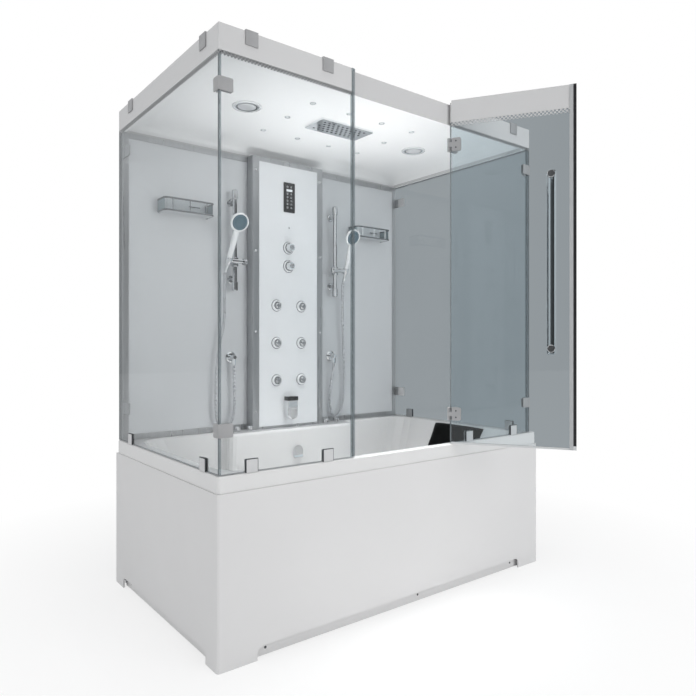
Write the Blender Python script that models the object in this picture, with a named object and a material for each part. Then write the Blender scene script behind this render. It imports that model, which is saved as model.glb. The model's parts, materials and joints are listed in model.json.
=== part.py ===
"""Bath with aprons, a glazed shower cabin with a hinged door, and a shower column on its back wall.

Units are metres and +Z is up. The origin is on the floor under the middle of the unit, whose front
faces -Y. The door stands open and the hand showers hang in their holders, which is the rest position.
"""

from math import acos, cos, degrees, hypot, radians, sin, tan, tau

import bmesh
import bpy
from mathutils import Matrix, Vector

# Driving sizes of the whole unit
UNIT_LENGTH = 1.700
UNIT_DEPTH = 1.000
RIM_TOP = 0.630
UNIT_HEIGHT = 2.100

# Clearance between touching pieces, and how far a cutter runs past what it cuts
GAP = 0.0003
OVERRUN = 0.010

# Facets of turned pieces and arcs
TURN_STEPS = 20
MID_TURN_STEPS = 14
SMALL_TURN_STEPS = 10
COLLAR_STEPS = 16
WIRE_STEPS = 8
ARC_STEPS = 3
SHARP_ANGLE = 38.0

# Tub shell
RIM_INSET = 0.005
RIM_BAND = 0.056
RIM_CORNER_RADIUS = 0.012
RIM_EDGE_RADIUS = 0.004
TUB_WALL = 0.008
BASIN_FLOOR_HEIGHT = 0.200
BASIN_FRONT_LEDGE = 0.045
BASIN_END_LEDGE = 0.070
BASIN_REAR_LEDGE = 0.070
BASIN_CORNER_RADIUS = 0.120
BASIN_LIP_RADIUS = 0.012
FLOOR_FRONT_INSET = 0.085
FLOOR_REAR_INSET = 0.110
FLOOR_LEFT_INSET = 0.190
FLOOR_RIGHT_INSET = 0.230
FLOOR_CORNER_RADIUS = 0.120
SHELF_DEPTH = 0.100
SHELF_END = 0.0375
SHELF_FILLET = 0.035
FLOOR_REAR_SHARES = (0.93, 0.78)
WALL_SHARES = ((0.27, 0.2475), (0.54, 0.495), (0.81, 0.7425), (0.90, 0.83),
               (0.955, 0.895), (0.99, 0.955), (1.0, 1.0))
STRAIGHT_WALL_SHARES = (0.81, 0.7425)

# Aprons and toe board
APRON_THICK = 0.006
APRON_RETURN = 0.030
APRON_CORNER_RADIUS = 0.010
APRON_FLANGE_CLEARANCE = 0.001
NOTCH_HEIGHT = 0.045
NOTCH_RADIUS = 0.020
FRONT_NOTCH_INSET = 0.147
SIDE_NOTCH_FRONT = 0.087
SIDE_NOTCH_REAR = 0.095
TOE_SETBACK = 0.020
TOE_THICK = 0.004
TOE_LIFT = 0.002
TOE_HEIGHT = 0.060

# Base frame
FRAME_TUBE = 0.025
FOOT_RADIUS = 0.011
FOOT_HEIGHT = 0.012
FRAME_REAR_INSET = 0.030
BEARER_DROP = 0.002
BEARER_SPREAD = 0.350
PROP_SPREAD = 0.150
POST_SETBACK = 0.001

# Waste, overflow and plug
DRAIN_SETBACK = 0.120
NECK_RADIUS = 0.0235
NECK_CLEARANCE = 0.0005
DRAIN_BORE = 0.017
DRAIN_BORE_DEPTH = 0.030
FLANGE_RADIUS = 0.035
FLANGE_THICK = 0.003
TRAP_RADIUS = 0.036
TRAP_HEIGHT = 0.060
TRAP_DROP = 0.060
TRAP_EDGE = 0.006
OUTLET_RADIUS = 0.020
OUTLET_REACH = 0.020
OVERFLOW_PIPE_RADIUS = 0.014
OVERFLOW_PIPE_SETBACK = 0.036
OVERFLOW_DROP = 0.115
OVERFLOW_SOCKET_RADIUS = 0.028
OVERFLOW_SOCKET_DEPTH = 0.010
OVERFLOW_HOLE = 0.014
SPINDLE_RADIUS = 0.006
SPINDLE_CLEARANCE = 0.0004
PLUG_RADIUS = 0.026
PLUG_THICK = 0.006
PLUG_STEM_RADIUS = 0.006
PLUG_STEM_LENGTH = 0.020
OVERFLOW_WIDTH = 0.056
OVERFLOW_HEIGHT = 0.059
OVERFLOW_THICK = 0.010
OVERFLOW_LIP = 0.006

# Steam generator under the rear ledge
STEAM_X = 0.190
STEAM_LENGTH = 0.250
STEAM_WIDTH = 0.100
STEAM_BOTTOM = 0.250
STEAM_TOP_DROP = 0.100
STEAM_EDGE = 0.012
STEAM_SETBACK = 0.036
STEAM_STUB_RADIUS = 0.008
STEAM_STUB_HEIGHT = 0.030

# Deck knobs on the rear ledge, beside the column
DECK_KNOB_COLUMN_GAP = 0.0195
DECK_KNOB_PITCH = 0.068
DECK_KNOB_SETBACK = 0.100
DECK_KNOB_RADIUS = 0.018
DECK_KNOB_HEIGHT = 0.025
DECK_KNOB_LOBES = 6
DECK_KNOB_LOBE_DEPTH = 0.0016

# Glass cabin
GLASS_THICK = 0.006
GLASS_INSET = 0.010
GLASS_RIGHT_INSET = 0.048
GLASS_REAR_INSET = 0.006
GLASS_LIFT = 0.004
GLASS_HEAD = 0.005
FRONT_PANE_SHARES = (0.3374, 0.3435)
CLIP_WIDTH = 0.045
CLIP_HEIGHT = 0.045
CLIP_PLATE = 0.003
LEFT_CLIP_INSETS = (0.120, 0.119)
RIGHT_CLIP_INSETS = (0.124, 0.128)
SIDE_CLIP_INSETS = (0.116, 0.154)

# Door, measured from its hinge axis
DOOR_CLOSING_GAP = 0.0005
DOOR_REST_ANGLE = -58.0
DOOR_OPEN_ANGLE = 43.0
DOOR_GLASS_BOTTOM = 0.010
DOOR_SEAL_WIDTH = 0.017
DOOR_SEAL_HALF = 0.006
DOOR_SEAL_WING = 0.009
DOOR_SEAL_SKIN = 0.0014
DOOR_SEAL_LIFT = 0.0015
JAMB_SEAL_NOSE = 0.0085
HANDLE_SETBACK = 0.097
HANDLE_WIDTH = 0.036
HANDLE_THICK = 0.012
HANDLE_EDGE = 0.006
HANDLE_END_SHARE = 0.75
HANDLE_ABOVE_MIDDLE = 0.024
HANDLE_LENGTH = 0.762
HANDLE_STANDOFF = 0.034
HANDLE_POST_INSET = 0.026
HANDLE_POST_RADIUS = 0.010
HANDLE_STUD_RADIUS = 0.006
HANDLE_CAP_RADIUS = 0.016
HANDLE_CAP_THICK = 0.006
HINGE_HEIGHT = 0.056
HINGE_REACH = 0.053
HINGE_PLATE = 0.0022
HINGE_UPPER_DROP = 0.189
HINGE_LOWER_RISE = 0.129
HINGE_CORNER = 0.008
KNUCKLE_SHARE = 0.36
PIN_RADIUS = 0.0026

# Back wall
WALL_FRAME_FACE = 0.040
WALL_FRAME_REAR = 0.006
WALL_FRAME_WIDTH = 0.025
WALL_FRAME_BACK = 0.015
WALL_LIP = 0.003
WALL_PANEL_THICK = 0.005
WALL_PANEL_GAP = 0.001
UPRIGHT_LIP = 0.030
UPRIGHT_BACK = 0.020
UPRIGHT_SETBACK = 0.0005
BRACKET_HEIGHT = 0.050
BRACKET_REACH = 0.080
BRACKET_THICK = 0.005
BRACKET_UPPER_DROP = 0.197
BRACKET_LOWER_RISE = 0.146
BRACKET_CORNER = 0.008

# Shower column; its levels are shares of the wall height above the rim
COLUMN_WIDTH = 0.430
COLUMN_DEPTH = 0.0547
COLUMN_EDGE = 0.005
COLUMN_STRIP = 0.038
COLUMN_TOP_STRIP = 0.023
COLUMN_BOTTOM_STRIP = 0.012
COLUMN_PANEL_THICK = 0.004
DISPLAY_WIDTH = 0.068
DISPLAY_HEIGHT = 0.154
DISPLAY_Z_SHARE = 0.8657
DISPLAY_THICK = 0.003
DISPLAY_CORNER = 0.004
DISPLAY_EDGE = 0.001
KNOB_X = -0.004
KNOB_Z_SHARES = (0.6752, 0.6058)
KNOB_BASE_RADIUS = 0.0295
KNOB_BASE_HEIGHT = 0.010
KNOB_RADIUS = 0.022
KNOB_HEIGHT = 0.026
KNOB_FLUTES = 8
KNOB_FLUTE_DEPTH = 0.0012
KNOB_SPINDLE = 0.008
KNOB_SPINDLE_LENGTH = 0.024
JET_SPACING = 0.151
JET_Z_SHARES = (0.4562, 0.3168, 0.1774)
JET_COLLAR_RADIUS = 0.0275
JET_COLLAR_HEIGHT = 0.011
JET_COLLAR_EDGE = 0.004
JET_BALL_RADIUS = 0.016
JET_BALL_CLEARANCE = 0.0004
JET_BALL_FORWARD = 0.006
JET_FACE = 0.013
JET_BORE_RADIUS = 0.006
JET_BORE_DEPTH = 0.004
STEAM_OUTLET_WIDTH = 0.060
STEAM_OUTLET_RISE = 0.041
STEAM_OUTLET_HEIGHT = 0.117
STEAM_OUTLET_DEPTH = 0.040
STEAM_CUP_RADIUS = 0.014
STEAM_CUP_DEPTH = 0.018
STEAM_OUTLET_EDGE = 0.006

# Roof
ROOF_DROP = 0.100
ROOF_HEIGHT = 0.089
ROOF_GLASS_CLEARANCE = 0.004
ROOF_REAR_INSET = 0.010
ROOF_CORNER_RADIUS = 0.008
ROOF_LIP = 0.010
ROOF_SKIN = 0.006
COVE_WIDTH = 0.110
COVE_RISE = 0.050
RAIN_X = -0.012
RAIN_Y = -0.041
RAIN_LENGTH = 0.292
RAIN_WIDTH = 0.143
RAIN_THICK = 0.008
RAIN_CORNER = 0.010
RAIN_BOSS_RADIUS = 0.014
RAIN_BOSS_HEIGHT = 0.030
SPEAKER_INSET = 0.192
SPEAKER_Y = -0.020
SPEAKER_RADIUS = 0.060
SPEAKER_RIM = 0.005
SPEAKER_CONE_INSET = 0.016
SPEAKER_CAN_INSET = 0.012
SPEAKER_CAN_HEIGHT = 0.030

# Hand shower sets, mirrored about the column
RAIL_COLUMN_GAP = 0.091
RAIL_STANDOFF = 0.045
RAIL_RADIUS = 0.011
RAIL_BOTTOM_SHARE = 0.5022
RAIL_LENGTH = 0.495
RAIL_CAP_RADIUS = 0.015
RAIL_CAP_LENGTH = 0.042
RAIL_FOOT_TOP_INSET = 0.056
RAIL_FOOT_BOTTOM_INSET = 0.059
RAIL_ARM_RADIUS = 0.009
RAIL_FOOT_RADIUS = 0.019
RAIL_FOOT_THICK = 0.006
SLIDER_Z_SHARE = 0.6058
SLIDER_HEIGHT = 0.046
SLIDER_RADIUS = 0.018
SLIDER_FORWARD = 0.033
SLIDER_ARM_RADIUS = 0.011
SLIDER_KNOB_RADIUS = 0.016
SLIDER_KNOB_REACH = 0.044
SLIDER_KNOB_LENGTH = 0.020
HOLDER_OFFSET = 0.0505
HOLDER_RADIUS = 0.017
HOLDER_HEIGHT = 0.034
HOLDER_EDGE = 0.0025
HOLDER_BOSS_RADIUS = 0.010
HOLDER_BOSS_REACH = 0.0195
HANDLE_LEAN_X = 0.0155
HANDLE_LEAN_Y = 0.080
HANDLE_RISE = 0.174
HAND_GRIP_RADIUS = 0.012
HAND_BASE_RADIUS = 0.010
HAND_BASE_TIP = 0.0085
HAND_BASE_LENGTH = 0.060
HEAD_RADIUS = 0.046
HEAD_THICK = 0.010
HEAD_DOME = 0.016
HEAD_FACE_RADIUS = 0.039
HEAD_FACE_RECESS = 0.0015
HOSE_RADIUS = 0.007
HOSE_SPACING = 0.038
ELBOW_Z_SHARE = 0.2650
ELBOW_DISC_RADIUS = 0.027
ELBOW_DISC_THICK = 0.008
ELBOW_RADIUS = 0.013
ELBOW_FORWARD = 0.035
ELBOW_OUTLET_RADIUS = 0.011
ELBOW_OUTLET_DROP = 0.038
HOSE_ROUTES = {
    "left": ((-0.3600, 0.4180, 1.380), (-0.3600, 0.4230, 1.272), (-0.3600, 0.4260, 1.175),
             (-0.3850, 0.4280, 1.040), (-0.3980, 0.4300, 0.930), (-0.4010, 0.4300, 0.837),
             (-0.4010, 0.4300, 0.740), (-0.3900, 0.4300, 0.678), (-0.3560, 0.4300, 0.6475),
             (-0.3200, 0.4300, 0.676), (-0.3030, 0.4300, 0.740), (-0.3030, 0.4295, 0.830),
             (-0.3050, 0.4285, 0.900)),
    "right": ((0.3600, 0.4180, 1.380), (0.3650, 0.4250, 1.250), (0.3700, 0.4300, 1.130),
              (0.3780, 0.4330, 1.000), (0.3850, 0.4360, 0.870), (0.3820, 0.4400, 0.760),
              (0.3600, 0.4400, 0.688), (0.3260, 0.4400, 0.6560), (0.2970, 0.4400, 0.682),
              (0.2860, 0.4390, 0.750), (0.2920, 0.4340, 0.850), (0.3020, 0.4290, 0.910)),
}

# Wall shelves, between a rail and the end of the wall frame
BASKET_RAIL_GAP = 0.124
BASKET_FRAME_GAP = 0.1157
BASKET_REACH = 0.090
BASKET_BOTTOM_SHARE = 0.7518
BASKET_HEIGHT = 0.063
BASKET_WIRE = 0.004
BASKET_PLATE = 0.006
BASKET_CORNER = 0.022
BASKET_MOUNT_WIDTH = 0.016
BASKET_MOUNT_DEPTH = 0.010
BASKET_POST_SHARES = (0.08, 0.5, 0.92)

# Head cushion on the sloping right end
CUSHION_WIDTH = 0.330
CUSHION_LENGTH = 0.165
CUSHION_THICK = 0.045
CUSHION_EDGE = 0.014
CUSHION_Y = -0.065
CUSHION_TOP_DROP = 0.006
CUSHION_CROWN_SHARE = 0.5
CUSHION_PINCH = 0.010
CUSHION_SEAT = 0.0006
CUSHION_DIP = 0.006

# Edges and levels worked out from the driving sizes
LEFT = -UNIT_LENGTH / 2
RIGHT = UNIT_LENGTH / 2
FRONT = -UNIT_DEPTH / 2
REAR = UNIT_DEPTH / 2
FLOOR_TOP = BASIN_FLOOR_HEIGHT
BASIN_LEFT = LEFT + BASIN_END_LEDGE
BASIN_RIGHT = RIGHT - BASIN_END_LEDGE
BASIN_FRONT = FRONT + BASIN_FRONT_LEDGE
BASIN_REAR = REAR - BASIN_REAR_LEDGE
DRAIN_Y = BASIN_REAR - FLOOR_REAR_INSET - DRAIN_SETBACK
STEAM_HEIGHT = RIM_TOP - STEAM_TOP_DROP - STEAM_BOTTOM
DECK_KNOB_INNER = COLUMN_WIDTH / 2 + DECK_KNOB_COLUMN_GAP
DECK_KNOB_OUTER = DECK_KNOB_INNER + DECK_KNOB_PITCH
SHELF_HALF_WIDTH = DECK_KNOB_OUTER + SHELF_END
APRON_TOP = RIM_TOP - RIM_BAND - GAP
GLASS_BOTTOM = RIM_TOP + GLASS_LIFT
GLASS_TOP = UNIT_HEIGHT - GLASS_HEAD
GLASS_FRONT = FRONT + GLASS_INSET
GLASS_LEFT = LEFT + GLASS_INSET
GLASS_RIGHT = RIGHT - GLASS_RIGHT_INSET
GLASS_REAR = REAR - GLASS_REAR_INSET
FRONT_LEFT_PANE = (GLASS_RIGHT - GLASS_LEFT) * FRONT_PANE_SHARES[0]
FRONT_RIGHT_PANE = (GLASS_RIGHT - GLASS_LEFT) * FRONT_PANE_SHARES[1]
FRONT_LEFT_EDGE = GLASS_LEFT + FRONT_LEFT_PANE
HINGE_X = GLASS_RIGHT - FRONT_RIGHT_PANE
HINGE_Y = GLASS_FRONT + GLASS_THICK / 2
HINGE_UPPER_Z = UNIT_HEIGHT - HINGE_UPPER_DROP
HINGE_LOWER_Z = RIM_TOP + HINGE_LOWER_RISE
DOOR_WIDTH = HINGE_X - FRONT_LEFT_EDGE - JAMB_SEAL_NOSE - DOOR_CLOSING_GAP
DOOR_MIDDLE = (RIM_TOP + DOOR_GLASS_BOTTOM + UNIT_HEIGHT) / 2
HANDLE_REACH = DOOR_WIDTH - HANDLE_SETBACK
HANDLE_BOTTOM = DOOR_MIDDLE + HANDLE_ABOVE_MIDDLE - HANDLE_LENGTH / 2
HINGE_HALF = GLASS_THICK / 2 + GAP + HINGE_PLATE
OPEN = radians(DOOR_OPEN_ANGLE)
PANE_START = (HINGE_HALF + GAP + GLASS_THICK / 2 * cos(OPEN)) / sin(OPEN)
LEAF_START = (HINGE_HALF + GAP) / tan(OPEN / 2)
ROOF_BOTTOM = UNIT_HEIGHT - ROOF_DROP
WALL_HEIGHT = ROOF_BOTTOM - RIM_TOP
BRACKET_UPPER_Z = UNIT_HEIGHT - BRACKET_UPPER_DROP
BRACKET_LOWER_Z = RIM_TOP + BRACKET_LOWER_RISE
FRAME_FACE_Y = REAR - WALL_FRAME_FACE
FRAME_REAR_Y = REAR - WALL_FRAME_REAR
FRAME_LEFT = GLASS_LEFT + GLASS_THICK + GAP
FRAME_RIGHT = GLASS_RIGHT - GLASS_THICK - GAP
FRAME_BOTTOM = RIM_TOP + GAP
FRAME_TOP = ROOF_BOTTOM - GAP
WALL_Y = FRAME_FACE_Y + WALL_LIP + GAP
COLUMN_REAR = FRAME_FACE_Y - GAP
COLUMN_FRONT = COLUMN_REAR - COLUMN_DEPTH
DISPLAY_Z = RIM_TOP + WALL_HEIGHT * DISPLAY_Z_SHARE
KNOB_ZS = [RIM_TOP + WALL_HEIGHT * share for share in KNOB_Z_SHARES]
JET_ZS = [RIM_TOP + WALL_HEIGHT * share for share in JET_Z_SHARES]
STEAM_OUTLET_TOP = RIM_TOP + STEAM_OUTLET_RISE + STEAM_OUTLET_HEIGHT
RAIL_X = COLUMN_WIDTH / 2 + RAIL_COLUMN_GAP
RAIL_Y = WALL_Y - RAIL_STANDOFF
RAIL_BOTTOM = RIM_TOP + WALL_HEIGHT * RAIL_BOTTOM_SHARE
SLIDER_Z = RIM_TOP + WALL_HEIGHT * SLIDER_Z_SHARE
ELBOW_Z = RIM_TOP + WALL_HEIGHT * ELBOW_Z_SHARE
HOLDER_Y = RAIL_Y - SLIDER_FORWARD
ELBOW_Y = WALL_Y - ELBOW_FORWARD
BASKET_INNER = RAIL_X + BASKET_RAIL_GAP
BASKET_OUTER = FRAME_RIGHT - BASKET_FRAME_GAP
BASKET_BOTTOM = RIM_TOP + WALL_HEIGHT * BASKET_BOTTOM_SHARE
CEILING = ROOF_BOTTOM + COVE_RISE
CEILING_RIGHT = GLASS_RIGHT - GLASS_THICK - ROOF_GLASS_CLEARANCE - ROOF_LIP - COVE_WIDTH
SPEAKER_X = CEILING_RIGHT - SPEAKER_INSET
SPEAKER_CAN = SPEAKER_RADIUS - SPEAKER_CAN_INSET
SPEAKER_CONE = SPEAKER_RADIUS - SPEAKER_CONE_INSET
CLIP_WRAP = GAP + CLIP_PLATE

FINISHES = {
    "acrylic": ((0.82, 0.82, 0.81), 0.22, 0.0, 1.0),
    "apron": ((0.80, 0.79, 0.78), 0.35, 0.0, 1.0),
    "roof": ((0.84, 0.84, 0.84), 0.30, 0.0, 1.0),
    "wall_panel": ((0.78, 0.80, 0.82), 0.20, 0.0, 1.0),
    "column_panel": ((0.86, 0.87, 0.88), 0.15, 0.0, 1.0),
    "glass": ((0.80, 0.86, 0.88), 0.05, 0.0, 0.35),
    "aluminium": ((0.55, 0.56, 0.58), 0.35, 0.9, 1.0),
    "chrome": ((0.78, 0.79, 0.80), 0.10, 1.0, 1.0),
    "steel": ((0.45, 0.46, 0.48), 0.45, 0.8, 1.0),
    "plastic": ((0.60, 0.60, 0.60), 0.50, 0.0, 1.0),
    "black": ((0.02, 0.02, 0.02), 0.35, 0.0, 1.0),
    "foam": ((0.03, 0.03, 0.03), 0.55, 0.0, 1.0),
    "seal": ((0.70, 0.73, 0.75), 0.40, 0.0, 0.6),
    "hose": ((0.72, 0.73, 0.74), 0.25, 0.9, 1.0),
}


def clear_scene():
    for item in list(bpy.data.objects):
        bpy.data.objects.remove(item, do_unlink=True)


def finish(name):
    """The shared material of one finish."""
    if name in bpy.data.materials:
        return bpy.data.materials[name]
    colour, roughness, metallic, alpha = FINISHES[name]
    material = bpy.data.materials.new(name)
    material.use_nodes = True
    shader = material.node_tree.nodes["Principled BSDF"]
    shader.inputs["Base Color"].default_value = (*colour, 1.0)
    shader.inputs["Roughness"].default_value = roughness
    shader.inputs["Metallic"].default_value = metallic
    shader.inputs["Alpha"].default_value = alpha
    return material


def add_node(name, mesh, finish_name, origin=(0, 0, 0), turn=None):
    """One named object. A mesh in world places is shifted to the origin; a turned one is local."""
    if turn is None:
        mesh.transform(Matrix.Translation(-Vector(origin)))
    mesh.name = name
    mesh.shade_smooth()
    mesh.set_sharp_from_angle(angle=radians(SHARP_ANGLE))
    mesh.materials.clear()
    mesh.materials.append(finish(finish_name))
    item = bpy.data.objects.new(name, mesh)
    item.location = origin
    if turn is not None:
        item.rotation_euler = (0, 0, turn)
    bpy.context.scene.collection.objects.link(item)
    return item


def loft(rings, closed=False):
    """A solid through rings of equally many points, capped at both ends unless it is closed."""
    work = bmesh.new()
    loops = [[work.verts.new(point) for point in ring] for ring in rings]
    count = len(loops[0])
    pairs = list(zip(loops, loops[1:]))
    if closed:
        pairs.append((loops[-1], loops[0]))
    for lower, upper in pairs:
        for i in range(count):
            j = (i + 1) % count
            work.faces.new((lower[i], lower[j], upper[j], upper[i]))
    if not closed:
        work.faces.new(list(reversed(loops[0])))
        work.faces.new(loops[-1])
    bmesh.ops.recalc_face_normals(work, faces=work.faces)
    mesh = bpy.data.meshes.new("solid")
    work.to_mesh(mesh)
    work.free()
    return mesh


def prism(outline, low, high, axis="Z"):
    """An outline of pairs, run along one axis: (x, y) for Z, (x, z) for Y and (y, z) for X."""
    order = {"Z": (0, 1, 2), "Y": (0, 2, 1), "X": (1, 2, 0)}[axis]
    rings = []
    for level in (low, high):
        ring = []
        for a, b in outline:
            point = [0, 0, 0]
            for slot, value in zip(order, (a, b, level)):
                point[slot] = value
            ring.append(Vector(point))
        rings.append(ring)
    return loft(rings)


def rectangle(x_low, x_high, y_low, y_high):
    return [(x_low, y_low), (x_high, y_low), (x_high, y_high), (x_low, y_high)]


def block(x_span, y_span, z_span):
    return prism(rectangle(*x_span, *y_span), *z_span)


def arc(x, y, radius, start, end, steps=ARC_STEPS):
    """Points on an arc; angles are in degrees."""
    points = []
    for i in range(steps + 1):
        angle = radians(start + (end - start) * i / steps)
        points.append((x + radius * cos(angle), y + radius * sin(angle)))
    return points


def rounded(x_low, x_high, y_low, y_high, radius, steps=ARC_STEPS):
    """A rectangle with round corners, anticlockwise from its lower left corner."""
    return (arc(x_low + radius, y_low + radius, radius, 180, 270, steps)
            + arc(x_high - radius, y_low + radius, radius, 270, 360, steps)
            + arc(x_high - radius, y_high - radius, radius, 0, 90, steps)
            + arc(x_low + radius, y_high - radius, radius, 90, 180, steps))


def cut_corners(x_low, x_high, y_low, y_high, cut):
    """A rectangle with its four corners cut off."""
    return rounded(x_low, x_high, y_low, y_high, cut, 1)


def facing(origin, direction):
    """A placing that turns local +Z to a direction."""
    turn = Vector((0, 0, 1)).rotation_difference(Vector(direction))
    return Matrix.Translation(Vector(origin)) @ turn.to_matrix().to_4x4()


def turned(profile, origin, direction=(0, 0, 1), steps=TURN_STEPS, lobes=0, lobe_depth=0, closed=False):
    """A profile of (radius, distance along the axis) pairs, turned about an axis."""
    place = facing(origin, direction)
    rings = []
    for radius, along in profile:
        ring = []
        for i in range(steps):
            angle = tau * i / steps
            reach = radius - lobe_depth * (1 - cos(lobes * angle)) / 2
            ring.append(place @ Vector((reach * cos(angle), reach * sin(angle), along)))
        rings.append(ring)
    return loft(rings, closed)


def rod(start, end, radius, steps=SMALL_TURN_STEPS):
    """A plain cylinder between two points."""
    direction = Vector(end) - Vector(start)
    return turned(((radius, 0), (radius, direction.length)), start, direction, steps)


def smooth(points, spacing):
    """Points about one spacing apart on a smooth curve through the given points."""
    route = [Vector(point) for point in points]
    ends = [2 * route[0] - route[1]] + route + [2 * route[-1] - route[-2]]
    dense = []
    for a, b, c, d in zip(ends, ends[1:], ends[2:], ends[3:]):
        for i in range(20):
            t = i / 20
            dense.append(0.5 * (2 * b + (c - a) * t + (2 * a - 5 * b + 4 * c - d) * t ** 2
                                + (3 * b - a - 3 * c + d) * t ** 3))
    dense.append(route[-1])
    lengths = [0]
    for a, b in zip(dense, dense[1:]):
        lengths.append(lengths[-1] + (b - a).length)
    count = max(2, round(lengths[-1] / spacing))
    result = []
    index = 0
    for k in range(count + 1):
        target = lengths[-1] * k / count
        while index < len(dense) - 2 and lengths[index + 1] < target:
            index += 1
        run = lengths[index + 1] - lengths[index]
        result.append(dense[index].lerp(dense[index + 1], (target - lengths[index]) / run))
    return result


def sweep(points, radius, steps=SMALL_TURN_STEPS):
    """A round bar through points, its rings carried along without twist."""
    route = [Vector(point) for point in points]
    tangents = []
    for i in range(len(route)):
        before = route[max(i - 1, 0)]
        after = route[min(i + 1, len(route) - 1)]
        tangents.append((after - before).normalized())
    side = tangents[0].orthogonal().normalized()
    rings = []
    for point, tangent in zip(route, tangents):
        side = (side - tangent * side.dot(tangent)).normalized()
        other = tangent.cross(side)
        rings.append([point + radius * (cos(tau * i / steps) * side + sin(tau * i / steps) * other)
                      for i in range(steps)])
    return loft(rings)


def combine(base, tools, operation):
    """Join, cut or intersect one mesh with others, one after another."""
    holder = bpy.data.objects.new("holder", base)
    bpy.context.scene.collection.objects.link(holder)
    helpers = []
    for tool in tools:
        helper = bpy.data.objects.new("helper", tool)
        bpy.context.scene.collection.objects.link(helper)
        helpers.append(helper)
        modifier = holder.modifiers.new("step", "BOOLEAN")
        modifier.operation = operation
        modifier.solver = "EXACT"
        modifier.object = helper
    graph = bpy.context.evaluated_depsgraph_get()
    graph.update()
    result = bpy.data.meshes.new_from_object(holder.evaluated_get(graph))
    for item in helpers + [holder]:
        bpy.data.objects.remove(item, do_unlink=True)
    return result


def join(base, *tools):
    return combine(base, tools, "UNION")


def cut(base, *tools):
    return combine(base, tools, "DIFFERENCE")


def between(start, end, count):
    """Evenly spaced points between two points, without the two."""
    return [(start[0] + (end[0] - start[0]) * (i + 1) / (count + 1),
             start[1] + (end[1] - start[1]) * (i + 1) / (count + 1)) for i in range(count)]


def blend(first, second, share):
    return [(a[0] + (b[0] - a[0]) * share, a[1] + (b[1] - a[1]) * share)
            for a, b in zip(first, second)]


def offset(outline, distance):
    """An anticlockwise outline moved outward along its own normals."""
    moved = []
    count = len(outline)
    for i, (x, y) in enumerate(outline):
        before = outline[i - 1]
        after = outline[(i + 1) % count]
        along = (after[0] - before[0], after[1] - before[1])
        size = hypot(*along)
        moved.append((x + distance * along[1] / size, y - distance * along[0] / size))
    return moved


def lifted(outline, level):
    return [Vector((x, y, level)) for x, y in outline]


# Tub shell


def tub_outline(x_low, x_high, y_low, y_high, radius, rear):
    """A plan outline with round corners whose rear side takes the given points, right to left."""
    steps = ARC_STEPS + 1
    corners = [arc(x_low + radius, y_low + radius, radius, 180, 270, steps),
               arc(x_high - radius, y_low + radius, radius, 270, 360, steps),
               arc(x_high - radius, y_high - radius, radius, 0, 90, steps),
               arc(x_low + radius, y_high - radius, radius, 90, 180, steps)]
    side = 2
    return (corners[0] + between(corners[0][-1], corners[1][0], side)
            + corners[1] + between(corners[1][-1], corners[2][0], side)
            + corners[2] + rear
            + corners[3] + between(corners[3][-1], corners[0][0], side))


def rear_shelf_points():
    """The rear edge of the basin: it runs forward round the shelf that carries the column."""
    flat_y = BASIN_REAR - SHELF_DEPTH
    centre_x = SHELF_HALF_WIDTH + 2 * SHELF_FILLET
    foot = arc(centre_x, BASIN_REAR - SHELF_FILLET, SHELF_FILLET, 90, 180)
    nose = arc(SHELF_HALF_WIDTH, flat_y + SHELF_FILLET, SHELF_FILLET, 0, -90)
    right = foot + nose
    left = [(-x, y) for x, y in reversed(right)]
    return right + between(right[-1], left[0], 3) + left


def spread_points(right_span, left_span, y, count):
    """Rear side points of a plainer outline, as many as the shelf edge has."""
    half = (count - 3) // 2
    right = [(right_span[0] + (right_span[1] - right_span[0]) * i / (half - 1), y) for i in range(half)]
    left = [(left_span[1] + (left_span[0] - left_span[1]) * i / (half - 1), y) for i in range(half)]
    return right + between(right[-1], left[0], 3) + left


def basin_outlines():
    """The basin's outline at its top edge and at its floor."""
    rear = rear_shelf_points()
    top = tub_outline(BASIN_LEFT, BASIN_RIGHT, BASIN_FRONT, BASIN_REAR, BASIN_CORNER_RADIUS, rear)
    x_low = BASIN_LEFT + FLOOR_LEFT_INSET
    x_high = BASIN_RIGHT - FLOOR_RIGHT_INSET
    y_high = BASIN_REAR - FLOOR_REAR_INSET
    right_end = x_high - FLOOR_CORNER_RADIUS
    left_end = x_low + FLOOR_CORNER_RADIUS
    floor_rear = spread_points([right_end * share for share in FLOOR_REAR_SHARES],
                               [left_end * share for share in FLOOR_REAR_SHARES], y_high, len(rear))
    floor = tub_outline(x_low, x_high, BASIN_FRONT + FLOOR_FRONT_INSET, y_high,
                        FLOOR_CORNER_RADIUS, floor_rear)
    return top, floor


def wall_level(depth_share):
    start = RIM_TOP - BASIN_LIP_RADIUS
    return start + (FLOOR_TOP - start) * depth_share


def wall_inset_share(level):
    """How far the straight part of the basin wall has moved to the floor outline at a level."""
    start = RIM_TOP - BASIN_LIP_RADIUS
    depth_share = (start - level) / (start - FLOOR_TOP)
    return depth_share * STRAIGHT_WALL_SHARES[1] / STRAIGHT_WALL_SHARES[0]


def shelf_wall_y(level):
    """Inner face of the basin wall under the middle of the rear shelf."""
    top_y = BASIN_REAR - SHELF_DEPTH
    floor_y = BASIN_REAR - FLOOR_REAR_INSET
    return top_y + (floor_y - top_y) * wall_inset_share(level)


def rim_outline(inset):
    rear = spread_points((SHELF_HALF_WIDTH + 2 * SHELF_FILLET, SHELF_HALF_WIDTH),
                         (-SHELF_HALF_WIDTH - 2 * SHELF_FILLET, -SHELF_HALF_WIDTH),
                         REAR - inset, len(rear_shelf_points()))
    return tub_outline(LEFT + inset, RIGHT - inset, FRONT + inset, REAR - inset,
                       RIM_CORNER_RADIUS, rear)


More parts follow.
